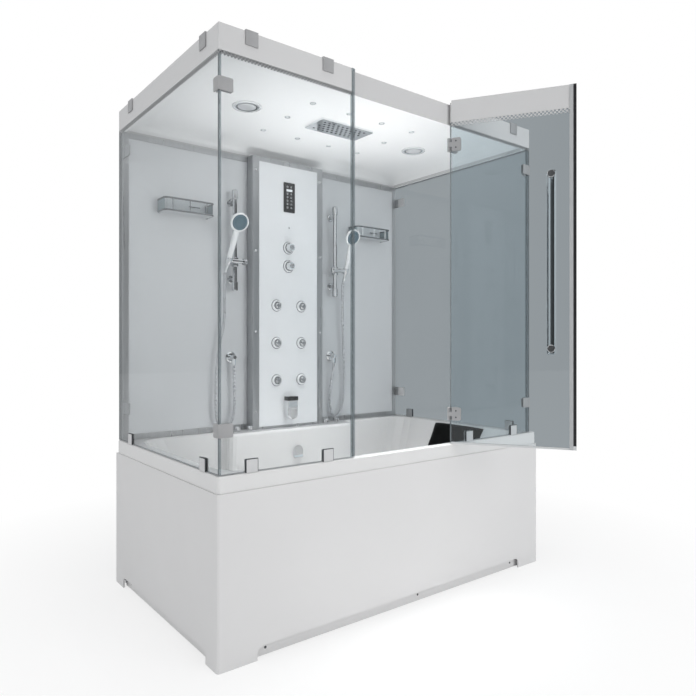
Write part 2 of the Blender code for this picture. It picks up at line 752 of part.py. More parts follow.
def make_tub_shell():
    """A moulded shell: skirt, rim, basin with a rear shelf, and the same surfaces underneath."""
    top, floor = basin_outlines()
    rim = rim_outline(RIM_INSET)
    rings = [lifted(floor, FLOOR_TOP)]
    walls = [(blend(top, floor, inset_share), wall_level(depth_share))
             for depth_share, inset_share in reversed(WALL_SHARES[:-1])]
    rings += [lifted(outline, level) for outline, level in walls]
    lip = []
    for angle in (90, 45, 0):
        reach = BASIN_LIP_RADIUS * (1 - sin(radians(angle)))
        drop = BASIN_LIP_RADIUS * (1 - cos(radians(angle)))
        lip.append((offset(top, reach), RIM_TOP - drop))
    rings += [lifted(outline, level) for outline, level in lip]
    for angle in (90, 0):
        reach = RIM_EDGE_RADIUS * (1 - cos(radians(angle)))
        drop = RIM_EDGE_RADIUS * (1 - sin(radians(angle)))
        rings.append(lifted(offset(rim, -reach), RIM_TOP - drop))
    skirt_bottom = RIM_TOP - RIM_BAND
    ledge_under = RIM_TOP - TUB_WALL
    rings.append(lifted(rim, skirt_bottom))
    rings.append(lifted(offset(rim, -TUB_WALL), skirt_bottom))
    rings.append(lifted(offset(rim, -TUB_WALL), ledge_under))
    rings.append(lifted(offset(top, BASIN_LIP_RADIUS + TUB_WALL), ledge_under))
    rings.append(lifted(offset(top, TUB_WALL), ledge_under - BASIN_LIP_RADIUS))
    rings += [lifted(offset(outline, TUB_WALL), level - TUB_WALL) for outline, level in reversed(walls)]
    rings.append(lifted(offset(floor, TUB_WALL), FLOOR_TOP - TUB_WALL))
    shell = loft(rings)
    long_cut = TUB_WALL + OVERRUN
    tools = [rod((0, DRAIN_Y, FLOOR_TOP - long_cut), (0, DRAIN_Y, FLOOR_TOP + OVERRUN),
                 NECK_RADIUS + NECK_CLEARANCE, TURN_STEPS)]
    wall_y = shelf_wall_y(overflow_level())
    tools.append(rod((0, wall_y - OVERRUN, overflow_level()), (0, wall_y + long_cut, overflow_level()),
                     OVERFLOW_HOLE))
    for x in deck_knob_places().values():
        tools.append(rod((x, deck_knob_y(), RIM_TOP - long_cut), (x, deck_knob_y(), RIM_TOP + OVERRUN),
                         SPINDLE_RADIUS + SPINDLE_CLEARANCE))
    add_node("tub_shell", cut(shell, *tools), "acrylic")


# Aprons and toe board


def notch_cutter(low, high, depth_span, axis):
    """The toe notch of an apron: an opening at the floor with round upper corners."""
    outline = rounded(low, high, -NOTCH_HEIGHT, NOTCH_HEIGHT, NOTCH_RADIUS)
    return prism(outline, *depth_span, axis)


def make_front_apron():
    """One panel over the whole front, folded back round both corners."""
    back = FRONT + APRON_RETURN
    radius = APRON_CORNER_RADIUS
    inner = radius - APRON_THICK
    outline = ([(LEFT, back)] + arc(LEFT + radius, FRONT + radius, radius, 180, 270)
               + arc(RIGHT - radius, FRONT + radius, radius, 270, 360) + [(RIGHT, back)]
               + [(RIGHT - APRON_THICK, back)]
               + arc(RIGHT - radius, FRONT + radius, inner, 360, 270)
               + arc(LEFT + radius, FRONT + radius, inner, 270, 180) + [(LEFT + APRON_THICK, back)])
    panel = prism(outline, 0, APRON_TOP)
    notch = notch_cutter(LEFT + FRONT_NOTCH_INSET, RIGHT - FRONT_NOTCH_INSET,
                         (FRONT - OVERRUN, FRONT + APRON_THICK + OVERRUN), "Y")
    add_node("front_apron", cut(panel, notch), "apron")


def make_side_apron(name, side):
    """A side panel with a flange turned in at its front and rear edges."""
    face = side * UNIT_LENGTH / 2
    inner = face - side * APRON_THICK
    flange = face - side * (TOE_SETBACK - APRON_FLANGE_CLEARANCE)
    low = FRONT + APRON_RETURN + GAP
    high = REAR
    outline = [(face, low), (flange, low), (flange, low + APRON_THICK), (inner, low + APRON_THICK),
               (inner, high - APRON_THICK), (flange, high - APRON_THICK), (flange, high), (face, high)]
    panel = prism(outline, 0, APRON_TOP)
    depth = sorted((face + side * OVERRUN, inner - side * GAP))
    notch = notch_cutter(FRONT + SIDE_NOTCH_FRONT, REAR - SIDE_NOTCH_REAR, depth, "X")
    add_node(name, cut(panel, notch), "apron")


def make_toe_board():
    """A strip behind the toe notches, round the front and both sides."""
    low_x = LEFT + TOE_SETBACK
    rear = REAR - SIDE_NOTCH_REAR + TOE_SETBACK
    front = FRONT + TOE_SETBACK
    outline = [(low_x, rear), (low_x, front), (-low_x, front), (-low_x, rear),
               (-low_x - TOE_THICK, rear), (-low_x - TOE_THICK, front + TOE_THICK),
               (low_x + TOE_THICK, front + TOE_THICK), (low_x + TOE_THICK, rear)]
    add_node("toe_board", prism(outline, TOE_LIFT, TOE_LIFT + TOE_HEIGHT), "apron")


# Base frame


def make_base_frame():
    """A welded frame on feet, with props to the tub floor and posts to the rim."""
    side = TOE_SETBACK + TOE_THICK + GAP
    x_out = RIGHT - side
    front = FRONT + side
    rear = REAR - FRAME_REAR_INSET
    low = FOOT_HEIGHT
    high = FOOT_HEIGHT + FRAME_TUBE
    rings = []
    for inset, level in ((0, low), (0, high), (FRAME_TUBE, high), (FRAME_TUBE, low)):
        rings.append(lifted(rectangle(-x_out + inset, x_out - inset, front + inset, rear - inset), level))
    frame = loft(rings, closed=True)
    bearer = (low + BEARER_DROP, high - BEARER_DROP)
    half = FRAME_TUBE / 2
    pieces = []
    for x in (-BEARER_SPREAD, 0, BEARER_SPREAD):
        pieces.append(block((x - half, x + half), (front + half, rear - half), bearer))
    prop_top = FLOOR_TOP - TUB_WALL - GAP
    for x in (-BEARER_SPREAD, BEARER_SPREAD):
        for y in (-PROP_SPREAD, PROP_SPREAD):
            width = half - BEARER_DROP
            pieces.append(block((x - width, x + width), (y - width, y + width),
                                (low + half, prop_top)))
    post_top = RIM_TOP - TUB_WALL - GAP
    inner = FRAME_TUBE - POST_SETBACK
    for sign in (-1, 1):
        xs = sorted((sign * (x_out - POST_SETBACK), sign * (x_out - inner)))
        pieces.append(block(xs, (front + POST_SETBACK, front + inner), (low + half, post_top)))
        pieces.append(block(xs, (rear - inner, rear - POST_SETBACK), (low + half, post_top)))
    foot_x = x_out - half
    feet = [(0, 0)]
    for x in (-foot_x, 0, foot_x):
        feet += [(x, front + half), (x, rear - half)]
    for x, y in feet:
        pieces.append(rod((x, y, 0), (x, y, low + half), FOOT_RADIUS))
    for sign in (-1, 1):
        x = STEAM_X + sign * STEAM_LENGTH / 3
        width = half - BEARER_DROP
        pieces.append(block((x - width, x + width), (rear - inner, rear - POST_SETBACK),
                            (low + half, STEAM_BOTTOM - GAP)))
    add_node("base_frame", join(frame, *pieces), "steel")


# Waste, overflow and plug


def overflow_level():
    return RIM_TOP - OVERFLOW_DROP


def make_waste_trap():
    """Drain flange and neck, bottle trap, outlet pipe and the pipe up to the overflow socket."""
    seat = FLOOR_TOP + GAP
    trap_top = FLOOR_TOP - TUB_WALL - TRAP_DROP + TRAP_HEIGHT / 2
    trap_low = trap_top - TRAP_HEIGHT
    body = turned(((TRAP_RADIUS - TRAP_EDGE, trap_low), (TRAP_RADIUS, trap_low + TRAP_EDGE),
                   (TRAP_RADIUS, trap_top - TRAP_EDGE), (TRAP_RADIUS - TRAP_EDGE, trap_top),
                   (NECK_RADIUS, trap_top), (NECK_RADIUS, seat), (FLANGE_RADIUS, seat),
                   (FLANGE_RADIUS - FLANGE_THICK / 2, seat + FLANGE_THICK),
                   (DRAIN_BORE, seat + FLANGE_THICK), (DRAIN_BORE, seat - DRAIN_BORE_DEPTH)),
                  (0, DRAIN_Y, 0))
    middle = (trap_low + trap_top) / 2
    low_z = middle + OVERFLOW_PIPE_RADIUS / 2
    socket_y = shelf_wall_y(overflow_level() + OVERFLOW_SOCKET_RADIUS) + TUB_WALL + GAP
    pipe_y = socket_y + OVERFLOW_PIPE_SETBACK
    bend = 2 * OVERFLOW_PIPE_RADIUS
    route = [(0, DRAIN_Y + TRAP_RADIUS / 2, low_z), (0, pipe_y - bend, low_z),
             (0, pipe_y - bend / 4, low_z + bend / 4), (0, pipe_y, low_z + bend),
             (0, pipe_y, overflow_level() - bend), (0, pipe_y - bend / 4, overflow_level() - bend / 4),
             (0, pipe_y - bend, overflow_level()),
             (0, socket_y + OVERFLOW_SOCKET_DEPTH / 2, overflow_level())]
    pipe = sweep(route, OVERFLOW_PIPE_RADIUS)
    socket = rod((0, socket_y, overflow_level()),
                 (0, socket_y + OVERFLOW_SOCKET_DEPTH, overflow_level()), OVERFLOW_SOCKET_RADIUS)
    outlet_z = trap_low + OUTLET_RADIUS
    outlet = rod((0, DRAIN_Y, outlet_z), (0, REAR - OUTLET_REACH, outlet_z), OUTLET_RADIUS - GAP)
    bore = rod((0, socket_y - OVERRUN, overflow_level()),
               (0, socket_y + OVERFLOW_SOCKET_DEPTH + SPINDLE_RADIUS, overflow_level()),
               SPINDLE_RADIUS + SPINDLE_CLEARANCE)
    add_node("waste_trap", cut(join(body, pipe, socket, outlet), bore), "plastic")


def make_drain_plug():
    """A domed plug whose stem runs in the neck of the waste."""
    low = FLOOR_TOP + GAP + FLANGE_THICK + GAP
    stem_low = low - PLUG_STEM_LENGTH
    mesh = turned(((PLUG_STEM_RADIUS, stem_low), (PLUG_STEM_RADIUS, low), (PLUG_RADIUS, low),
                   (PLUG_RADIUS, low + PLUG_THICK / 3), (PLUG_RADIUS * 0.8, low + PLUG_THICK * 0.8),
                   (PLUG_RADIUS / 3, low + PLUG_THICK)), (0, DRAIN_Y, 0))
    add_node("drain_plug", mesh, "chrome", (0, DRAIN_Y, low))


def make_overflow_knob():
    """An arched plate with a turned-out lower lip and a spindle through the basin wall."""
    level = overflow_level()
    back = shelf_wall_y(level - hypot(OVERFLOW_WIDTH / 2, OVERFLOW_HEIGHT / 2)) - GAP
    radius = OVERFLOW_WIDTH / 2
    low = level - OVERFLOW_HEIGHT / 2
    outline = [(-radius, low), (radius, low)] + arc(0, low + OVERFLOW_HEIGHT - radius, radius, 0, 180, 12)
    plate = prism(outline, back - OVERFLOW_THICK, back, "Y")
    front = back - OVERFLOW_THICK
    lip = prism([(front - OVERFLOW_LIP, low + GAP), (front + GAP, low + GAP),
                 (front + GAP, low + 2 * OVERFLOW_LIP)],
                -radius + OVERFLOW_LIP / 2, radius - OVERFLOW_LIP / 2, "X")
    socket_y = shelf_wall_y(level + OVERFLOW_SOCKET_RADIUS) + TUB_WALL + GAP
    spindle = rod((0, back - GAP, level), (0, socket_y + OVERFLOW_SOCKET_DEPTH, level), SPINDLE_RADIUS)
    add_node("overflow_knob", join(plate, lip, spindle), "chrome", (0, back, level))


def make_steam_generator():
    """A closed housing on the frame behind the shelf, with a water and a steam stub on top."""
    rear = REAR - STEAM_SETBACK
    front = rear - STEAM_WIDTH
    low = STEAM_BOTTOM
    high = low + STEAM_HEIGHT
    edge = STEAM_EDGE
    rings = []
    for inset, level in ((edge / 2, low), (0, low + edge / 2), (0, high - edge / 2), (edge / 2, high)):
        rings.append(lifted(rounded(STEAM_X - STEAM_LENGTH / 2 + inset, STEAM_X + STEAM_LENGTH / 2 - inset,
                                    front + inset, rear - inset, edge), level))
    stubs = []
    for sign in (-1, 1):
        x = STEAM_X + sign * STEAM_LENGTH / 4
        y = (front + rear) / 2
        stubs.append(rod((x, y, high - OVERRUN), (x, y, high + STEAM_STUB_HEIGHT), STEAM_STUB_RADIUS))
    add_node("steam_generator", join(loft(rings), *stubs), "steel")


# Deck knobs


def deck_knob_places():
    return {"deck_knob_1": -DECK_KNOB_OUTER, "deck_knob_2": -DECK_KNOB_INNER,
            "deck_knob_3": DECK_KNOB_INNER, "deck_knob_4": DECK_KNOB_OUTER}


def deck_knob_y():
    return REAR - DECK_KNOB_SETBACK


def make_deck_knobs():
    """Lobed knobs whose spindles pass through the ledge."""
    radius = DECK_KNOB_RADIUS
    for name, x in deck_knob_places().items():
        low = RIM_TOP + GAP
        high = low + DECK_KNOB_HEIGHT
        head = turned(((radius * 0.85, low), (radius * 0.85, low + DECK_KNOB_HEIGHT * 0.2),
                       (radius, low + DECK_KNOB_HEIGHT * 0.3), (radius, high - DECK_KNOB_HEIGHT * 0.15),
                       (radius * 0.85, high)), (x, deck_knob_y(), 0),
                      steps=4 * DECK_KNOB_LOBES, lobes=DECK_KNOB_LOBES, lobe_depth=DECK_KNOB_LOBE_DEPTH)
        spindle = rod((x, deck_knob_y(), RIM_TOP - TUB_WALL - SPINDLE_RADIUS),
                      (x, deck_knob_y(), low + DECK_KNOB_HEIGHT / 2), SPINDLE_RADIUS)
        add_node(name, join(head, spindle), "chrome", (x, deck_knob_y(), RIM_TOP))


# Cabin glass, seals and clips


def make_glass():
    inner = GLASS_FRONT + GLASS_THICK + GAP
    levels = (GLASS_BOTTOM, GLASS_TOP)
    front = (GLASS_FRONT, GLASS_FRONT + GLASS_THICK)
    add_node("glass_left", block((GLASS_LEFT, GLASS_LEFT + GLASS_THICK), (inner, GLASS_REAR), levels),
             "glass")
    add_node("glass_right", block((GLASS_RIGHT - GLASS_THICK, GLASS_RIGHT), (inner, GLASS_REAR), levels),
             "glass")
    add_node("glass_front_left", block((GLASS_LEFT, FRONT_LEFT_EDGE), front, levels), "glass")
    add_node("glass_front_right", block((HINGE_X + PANE_START, GLASS_RIGHT), front, levels), "glass")


def side_place(side):
    """Places along and out from a side pane: (along, out, level) to world, along from the front."""
    face = GLASS_LEFT if side < 0 else GLASS_RIGHT
    return lambda along, out, level: Vector((face + side * out, GLASS_FRONT + along, level))


def front_place(start, sign):
    """Places along and out from a front pane, along from one of its ends."""
    return lambda along, out, level: Vector((start + sign * along, GLASS_FRONT - out, level))


def clip_solid(place, centre, outline):
    """A clip of one outline of (out, level) pairs, run along the pane."""
    half = CLIP_WIDTH / 2
    rings = [[place(centre + shift, out, level) for out, level in outline] for shift in (-half, half)]
    return loft(rings)


def clip_places(side):
    """All clips of one side: a placing function and the distance along its pane."""
    corner = GLASS_LEFT if side < 0 else GLASS_RIGHT
    front = LEFT_CLIP_INSETS if side < 0 else RIGHT_CLIP_INSETS
    width = FRONT_LEFT_PANE if side < 0 else FRONT_RIGHT_PANE
    length = GLASS_REAR - GLASS_FRONT
    front_runs = (front[0], width - front[1])
    side_runs = (SIDE_CLIP_INSETS[0], length - SIDE_CLIP_INSETS[1])
    return ([(front_place(corner, -side), along) for along in front_runs]
            + [(side_place(side), along) for along in side_runs])


def make_rim_channel(name, side):
    """A seal strip under two panes, with the clips that hold them joined to it."""
    low = RIM_TOP + GAP
    top = GLASS_BOTTOM - GAP
    strip = (low + GAP, top - GAP)
    glass = GLASS_THICK
    corner = GLASS_LEFT if side < 0 else GLASS_RIGHT
    end = FRONT_LEFT_EDGE if side < 0 else HINGE_X + PANE_START
    front = block(sorted((corner, end)), (GLASS_FRONT, GLASS_FRONT + glass), strip)
    run = block(sorted((corner - side * GAP, corner - side * (glass - GAP))),
                (GLASS_FRONT + GAP, GLASS_REAR), (strip[0] + GAP, strip[1] - GAP))
    clips = []
    inside = glass + GAP
    outline = [(CLIP_WRAP, low), (CLIP_WRAP, low + CLIP_HEIGHT), (GAP, low + CLIP_HEIGHT), (GAP, top),
               (-inside, top), (-inside, low + CLIP_HEIGHT), (-inside - CLIP_PLATE, low + CLIP_HEIGHT),
               (-inside - CLIP_PLATE, low)]
    for place, along in clip_places(side):
        clips.append(clip_solid(place, along, outline))
    add_node(name, join(front, run, *clips), "aluminium")


def make_jamb_seal():
    """The strip on the free edge of the left front pane that the door closes against."""
    edge = FRONT_LEFT_EDGE
    middle = HINGE_Y
    slot = GLASS_THICK / 2 + GAP
    out = slot + DOOR_SEAL_SKIN
    nose = edge + JAMB_SEAL_NOSE
    back = edge - DOOR_SEAL_WING
    outline = [(back, middle + slot), (back, middle + out), (edge + GAP + DOOR_SEAL_SKIN, middle + out),
               (nose, middle + slot / 2), (nose, middle - slot / 2),
               (edge + GAP + DOOR_SEAL_SKIN, middle - out), (back, middle - out), (back, middle - slot),
               (edge + GAP, middle - slot), (edge + GAP, middle + slot)]
    add_node("jamb_seal", prism(list(reversed(outline)), GLASS_BOTTOM, GLASS_TOP), "seal")


# Door, in its own frame: x along the door from the hinge axis, y out of the cabin when it is shut


def door_origin():
    return (HINGE_X, HINGE_Y, 0)


def add_door_node(name, mesh, finish_name):
    add_node(name, mesh, finish_name, door_origin(), radians(DOOR_REST_ANGLE))


def door_levels():
    return RIM_TOP + DOOR_GLASS_BOTTOM, UNIT_HEIGHT


def handle_post_levels():
    return HANDLE_BOTTOM + HANDLE_POST_INSET, HANDLE_BOTTOM + HANDLE_LENGTH - HANDLE_POST_INSET


def make_door_glass():
    half = GLASS_THICK / 2
    low, high = door_levels()
    end = DOOR_WIDTH - DOOR_SEAL_WIDTH
    pane = block((PANE_START, end), (-half, half), (low, high))
    holes = [rod((HANDLE_REACH, -half - OVERRUN, level), (HANDLE_REACH, half + OVERRUN, level),
                 HANDLE_STUD_RADIUS + GAP) for level in handle_post_levels()]
    add_door_node("door_glass", cut(pane, *holes), "glass")


def make_door_handle():
    """A long flat oval bar outside, on two posts whose studs pass to round caps inside."""
    half = GLASS_THICK / 2
    bar_in = half + GAP + HANDLE_STANDOFF
    middle = bar_in + HANDLE_THICK / 2
    outline = []
    for i in range(MID_TURN_STEPS):
        angle = tau * i / MID_TURN_STEPS
        outline.append((HANDLE_REACH + HANDLE_WIDTH / 2 * cos(angle),
                        middle + HANDLE_THICK / 2 * sin(angle)))
    rings = []
    for share, level in ((HANDLE_END_SHARE, 0), (1, HANDLE_EDGE), (1, HANDLE_LENGTH - HANDLE_EDGE),
                         (HANDLE_END_SHARE, HANDLE_LENGTH)):
        rings.append([Vector((HANDLE_REACH + (x - HANDLE_REACH) * share,
                              middle + (y - middle) * share, HANDLE_BOTTOM + level)) for x, y in outline])
    bar = loft(rings)
    pieces = []
    cap_edge = half + 2 * HANDLE_CAP_THICK / 3
    cap_top = half + HANDLE_CAP_THICK
    for level in handle_post_levels():
        place = (HANDLE_REACH, 0, level)
        pieces.append(turned(((HANDLE_CAP_RADIUS, half + GAP), (HANDLE_CAP_RADIUS, cap_edge),
                              (HANDLE_POST_RADIUS, cap_top), (HANDLE_POST_RADIUS, middle)),
                             place, (0, 1, 0), MID_TURN_STEPS))
        pieces.append(rod((HANDLE_REACH, -cap_edge, level), (HANDLE_REACH, half + 2 * GAP, level),
                          HANDLE_STUD_RADIUS))
        pieces.append(turned(((HANDLE_CAP_RADIUS, half + GAP), (HANDLE_CAP_RADIUS, cap_edge),
                              (HANDLE_CAP_RADIUS * 0.85, cap_top)), place, (0, -1, 0), MID_TURN_STEPS))
    add_door_node("door_handle", join(bar, *pieces), "chrome")


def make_door_seal():
    """The magnetic strip on the free edge with the wiper strip under the door."""
    slot = GLASS_THICK / 2 + GAP
    out = slot + DOOR_SEAL_SKIN
    glass_end = DOOR_WIDTH - DOOR_SEAL_WIDTH
    low, high = door_levels()
    bottom = RIM_TOP + DOOR_SEAL_LIFT
    back = glass_end - DOOR_SEAL_WING
    outline = [(back, slot), (glass_end + GAP, slot), (glass_end + GAP, -slot), (back, -slot),
               (back, -out), (glass_end, -DOOR_SEAL_HALF), (DOOR_WIDTH, -DOOR_SEAL_HALF),
               (DOOR_WIDTH, DOOR_SEAL_HALF), (glass_end, DOOR_SEAL_HALF), (back, out)]
    strip = prism(outline, bottom + GAP, high)
    wiper = prism([(-out + DOOR_SEAL_SKIN, bottom), (out - DOOR_SEAL_SKIN, bottom),
                   (out - DOOR_SEAL_SKIN, low - GAP), (-out + DOOR_SEAL_SKIN, low - GAP)],
                  PANE_START, glass_end + DOOR_SEAL_WIDTH / 2, "X")
    add_door_node("door_seal", join(strip, wiper), "black")


def hinge_leaf(level, own_ranges, other_ranges):
    """Two plates round the glass edge, cut back where the other leaf's knuckles turn."""
    half = HINGE_HEIGHT / 2
    corner = HINGE_CORNER
    outline = ([(0, level - half)] + arc(HINGE_REACH - corner, level - half + corner, corner, 270, 360)
               + arc(HINGE_REACH - corner, level + half - corner, corner, 0, 90) + [(0, level + half)])
    leaf = prism(outline, -HINGE_HALF, HINGE_HALF, "Y")
    slot = GLASS_THICK / 2 + GAP
    tools = [block((PANE_START - GAP, HINGE_REACH + OVERRUN), (-slot, slot),
                   (level - half - OVERRUN, level + half + OVERRUN))]
    for low, high in other_ranges:
        tools.append(block((-OVERRUN, LEAF_START), (-OVERRUN, OVERRUN), (low, high)))
    barrels = [rod((0, 0, low), (0, 0, high), HINGE_HALF + GAP, MID_TURN_STEPS) for low, high in own_ranges]
    return cut(leaf, *tools), barrels


def knuckle_ranges(level):
    half = HINGE_HEIGHT / 2
    middle = HINGE_HEIGHT * KNUCKLE_SHARE / 2
    return {"fixed": ((level - half, level - middle), (level + middle, level + half)),
            "fixed_cut": ((level - middle - GAP, level + middle + GAP),),
            "door": ((level - middle + GAP, level + middle - GAP),),
            "door_cut": ((level - half - OVERRUN, level - middle + GAP),
                         (level + middle - GAP, level + half + OVERRUN))}


def make_hinge(prefix, level):
    """A hinge of two leaves: the fixed one carries the pin, the door leaf turns on it."""
    ranges = knuckle_ranges(level)
    half = HINGE_HEIGHT / 2
    cap = GAP
    fixed_cuts = [(low - GAP, high + GAP) for low, high in ranges["door"]]
    leaf, barrels = hinge_leaf(level, ranges["fixed"], fixed_cuts)
    pin = rod((0, 0, level - half + cap), (0, 0, level + half - cap), PIN_RADIUS)
    fixed = join(leaf, *barrels, pin)
    fixed.transform(Matrix.Translation((HINGE_X, HINGE_Y, 0)))
    add_node(prefix + "_fixed", fixed, "chrome", (HINGE_X, HINGE_Y, level))
    leaf, barrels = hinge_leaf(level, ranges["door"], ranges["door_cut"])
    bore = rod((0, 0, level - half), (0, 0, level + half), PIN_RADIUS + GAP)
    add_door_node(prefix + "_door", cut(join(leaf, *barrels), bore), "chrome")


# Back wall


def make_back_frame():
    """A rebated ring with a centre upright, and four brackets that hold the side panes."""
    rings = []
    lip = FRAME_FACE_Y + WALL_LIP
    for inset, y in ((0, FRAME_FACE_Y), (WALL_FRAME_WIDTH, FRAME_FACE_Y), (WALL_FRAME_WIDTH, lip),
                     (WALL_FRAME_BACK, lip), (WALL_FRAME_BACK, FRAME_REAR_Y), (0, FRAME_REAR_Y)):
        corners = rectangle(FRAME_LEFT + inset, FRAME_RIGHT - inset,
                            FRAME_BOTTOM + inset, FRAME_TOP - inset)
        rings.append([Vector((x, y, z)) for x, z in corners])
    frame = loft(rings, closed=True)
    face = FRAME_FACE_Y + UPRIGHT_SETBACK
    back = FRAME_REAR_Y - UPRIGHT_SETBACK
    outline = [(-UPRIGHT_LIP, face), (UPRIGHT_LIP, face), (UPRIGHT_LIP, lip), (UPRIGHT_BACK, lip),
               (UPRIGHT_BACK, back), (-UPRIGHT_BACK, back), (-UPRIGHT_BACK, lip), (-UPRIGHT_LIP, lip)]
    reach = WALL_FRAME_BACK / 2
    pieces = [prism(outline, FRAME_BOTTOM + reach, FRAME_TOP - reach)]
    for level in (BRACKET_LOWER_Z, BRACKET_UPPER_Z):
        low = level - BRACKET_HEIGHT / 2
        high = level + BRACKET_HEIGHT / 2
        front = FRAME_FACE_Y - BRACKET_REACH
        corner = BRACKET_CORNER
        end = FRAME_FACE_Y + WALL_LIP / 2
        outline = ([(end, low)] + [(end, high)] + arc(front + corner, high - corner, corner, 90, 180)
                   + arc(front + corner, low + corner, corner, 180, 270))
        for start, sign in ((FRAME_LEFT, 1), (FRAME_RIGHT, -1)):
            xs = sorted((start + sign * UPRIGHT_SETBACK, start + sign * BRACKET_THICK))
            pieces.append(prism(outline, *xs, "X"))
    add_node("back_frame", join(frame, *pieces), "aluminium")


def make_back_panels():
    clear = WALL_FRAME_BACK + WALL_PANEL_GAP
    levels = (FRAME_BOTTOM + clear, FRAME_TOP - clear)
    depth = (WALL_Y, WALL_Y + WALL_PANEL_THICK)
    middle = UPRIGHT_BACK + WALL_PANEL_GAP
    add_node("back_panel_left", block((FRAME_LEFT + clear, -middle), depth, levels), "wall_panel")
    add_node("back_panel_right", block((middle, FRAME_RIGHT - clear), depth, levels), "wall_panel")


# Shower column


def jet_places():
    places = []
    for z in JET_ZS:
        for sign in (-1, 1):
            places.append((sign * JET_SPACING / 2, z))
    return places


def jet_centre_y():
    return COLUMN_FRONT - JET_BALL_FORWARD


def make_column_housing():
    """The housing with its rebate for the front panel, jet sockets and knob bases."""
    half = COLUMN_WIDTH / 2
    edge = COLUMN_EDGE
    outline = (arc(-half + edge, COLUMN_FRONT + edge, edge, 180, 270)
               + arc(half - edge, COLUMN_FRONT + edge, edge, 270, 360)
               + [(half, COLUMN_REAR), (-half, COLUMN_REAR)])
    body = prism(outline, FRAME_BOTTOM, FRAME_TOP)
    rebate = COLUMN_FRONT + COLUMN_PANEL_THICK + GAP
    inner = half - COLUMN_STRIP
    pocket = block((-inner, inner), (COLUMN_FRONT - OVERRUN, rebate),
                   (FRAME_BOTTOM + COLUMN_BOTTOM_STRIP, FRAME_TOP - COLUMN_TOP_STRIP))
    body = cut(body, pocket)
    bosses = []
    bores = []
    front = COLUMN_FRONT
    ball = JET_BALL_RADIUS + JET_BALL_CLEARANCE
    bottom = jet_centre_y() + ball
    root = -rebate - OVERRUN / 2
    for x, z in jet_places():
        bosses.append(turned(((JET_COLLAR_RADIUS, root),
                              (JET_COLLAR_RADIUS, -front + JET_COLLAR_HEIGHT / 2),
                              (JET_COLLAR_RADIUS - JET_COLLAR_EDGE, -front + JET_COLLAR_HEIGHT)),
                             (x, 0, z), (0, -1, 0), COLLAR_STEPS))
        bores.append(rod((x, front - JET_COLLAR_HEIGHT - OVERRUN, z), (x, bottom, z), ball, MID_TURN_STEPS))
    for z in KNOB_ZS:
        bosses.append(turned(((KNOB_BASE_RADIUS, root), (KNOB_BASE_RADIUS, -front + KNOB_BASE_HEIGHT / 2),
                              (KNOB_BASE_RADIUS * 0.88, -front + KNOB_BASE_HEIGHT)),
                             (KNOB_X, 0, z), (0, -1, 0), COLLAR_STEPS))
        bores.append(rod((KNOB_X, front - KNOB_BASE_HEIGHT - OVERRUN, z),
                         (KNOB_X, front - KNOB_BASE_HEIGHT + KNOB_SPINDLE_LENGTH + GAP, z),
                         KNOB_SPINDLE + SPINDLE_CLEARANCE, MID_TURN_STEPS))
    add_node("column_housing", cut(join(body, *bosses), *bores), "aluminium")


def make_column_panel():
    """The white front panel, pierced for the jet sockets and knob bases."""
    inner = COLUMN_WIDTH / 2 - COLUMN_STRIP - GAP
    low = FRAME_BOTTOM + COLUMN_BOTTOM_STRIP + GAP
    high = FRAME_TOP - COLUMN_TOP_STRIP - GAP
    plate = block((-inner, inner), (COLUMN_FRONT, COLUMN_FRONT + COLUMN_PANEL_THICK), (low, high))
    y_span = (COLUMN_FRONT - OVERRUN, COLUMN_FRONT + COLUMN_PANEL_THICK + OVERRUN)
    holes = [rod((x, y_span[0], z), (x, y_span[1], z), JET_COLLAR_RADIUS + 2 * GAP, COLLAR_STEPS)
             for x, z in jet_places()]
    holes += [rod((KNOB_X, y_span[0], z), (KNOB_X, y_span[1], z), KNOB_BASE_RADIUS + 2 * GAP, COLLAR_STEPS)
              for z in KNOB_ZS]
    add_node("column_panel", cut(plate, *holes), "column_panel")


def make_display():
    """A glass-faced control display on the column panel."""
    back = COLUMN_FRONT - GAP
    half = DISPLAY_WIDTH / 2
    rings = []
    low = DISPLAY_Z - DISPLAY_HEIGHT / 2
    high = DISPLAY_Z + DISPLAY_HEIGHT / 2
    for inset, y in ((0, back), (0, back - DISPLAY_THICK + DISPLAY_EDGE),
                     (DISPLAY_EDGE, back - DISPLAY_THICK)):
        outline = rounded(-half + inset, half - inset, low + inset, high - inset, DISPLAY_CORNER)
        rings.append([Vector((x, y, z)) for x, z in outline])
    add_node("display_panel", loft(rings), "black")


def make_column_knobs():
    """Fluted knobs, each on a spindle in the column."""
    front = COLUMN_FRONT - KNOB_BASE_HEIGHT - GAP
    for name, z in zip(("mixer_knob", "diverter_knob"), KNOB_ZS):
        head = turned(((KNOB_RADIUS * 0.9, 0), (KNOB_RADIUS, KNOB_HEIGHT * 0.12),
                       (KNOB_RADIUS * 0.94, KNOB_HEIGHT * 0.8), (KNOB_RADIUS * 0.85, KNOB_HEIGHT),
                       (KNOB_RADIUS * 0.6, KNOB_HEIGHT), (KNOB_RADIUS * 0.5, KNOB_HEIGHT * 0.94)),
                      (KNOB_X, front, z), (0, -1, 0), 3 * KNOB_FLUTES, KNOB_FLUTES, KNOB_FLUTE_DEPTH)
        spindle = rod((KNOB_X, front - KNOB_HEIGHT / 2, z),
                      (KNOB_X, front + KNOB_SPINDLE_LENGTH, z), KNOB_SPINDLE, MID_TURN_STEPS)
        add_node(name, join(head, spindle), "chrome", (KNOB_X, front, z))


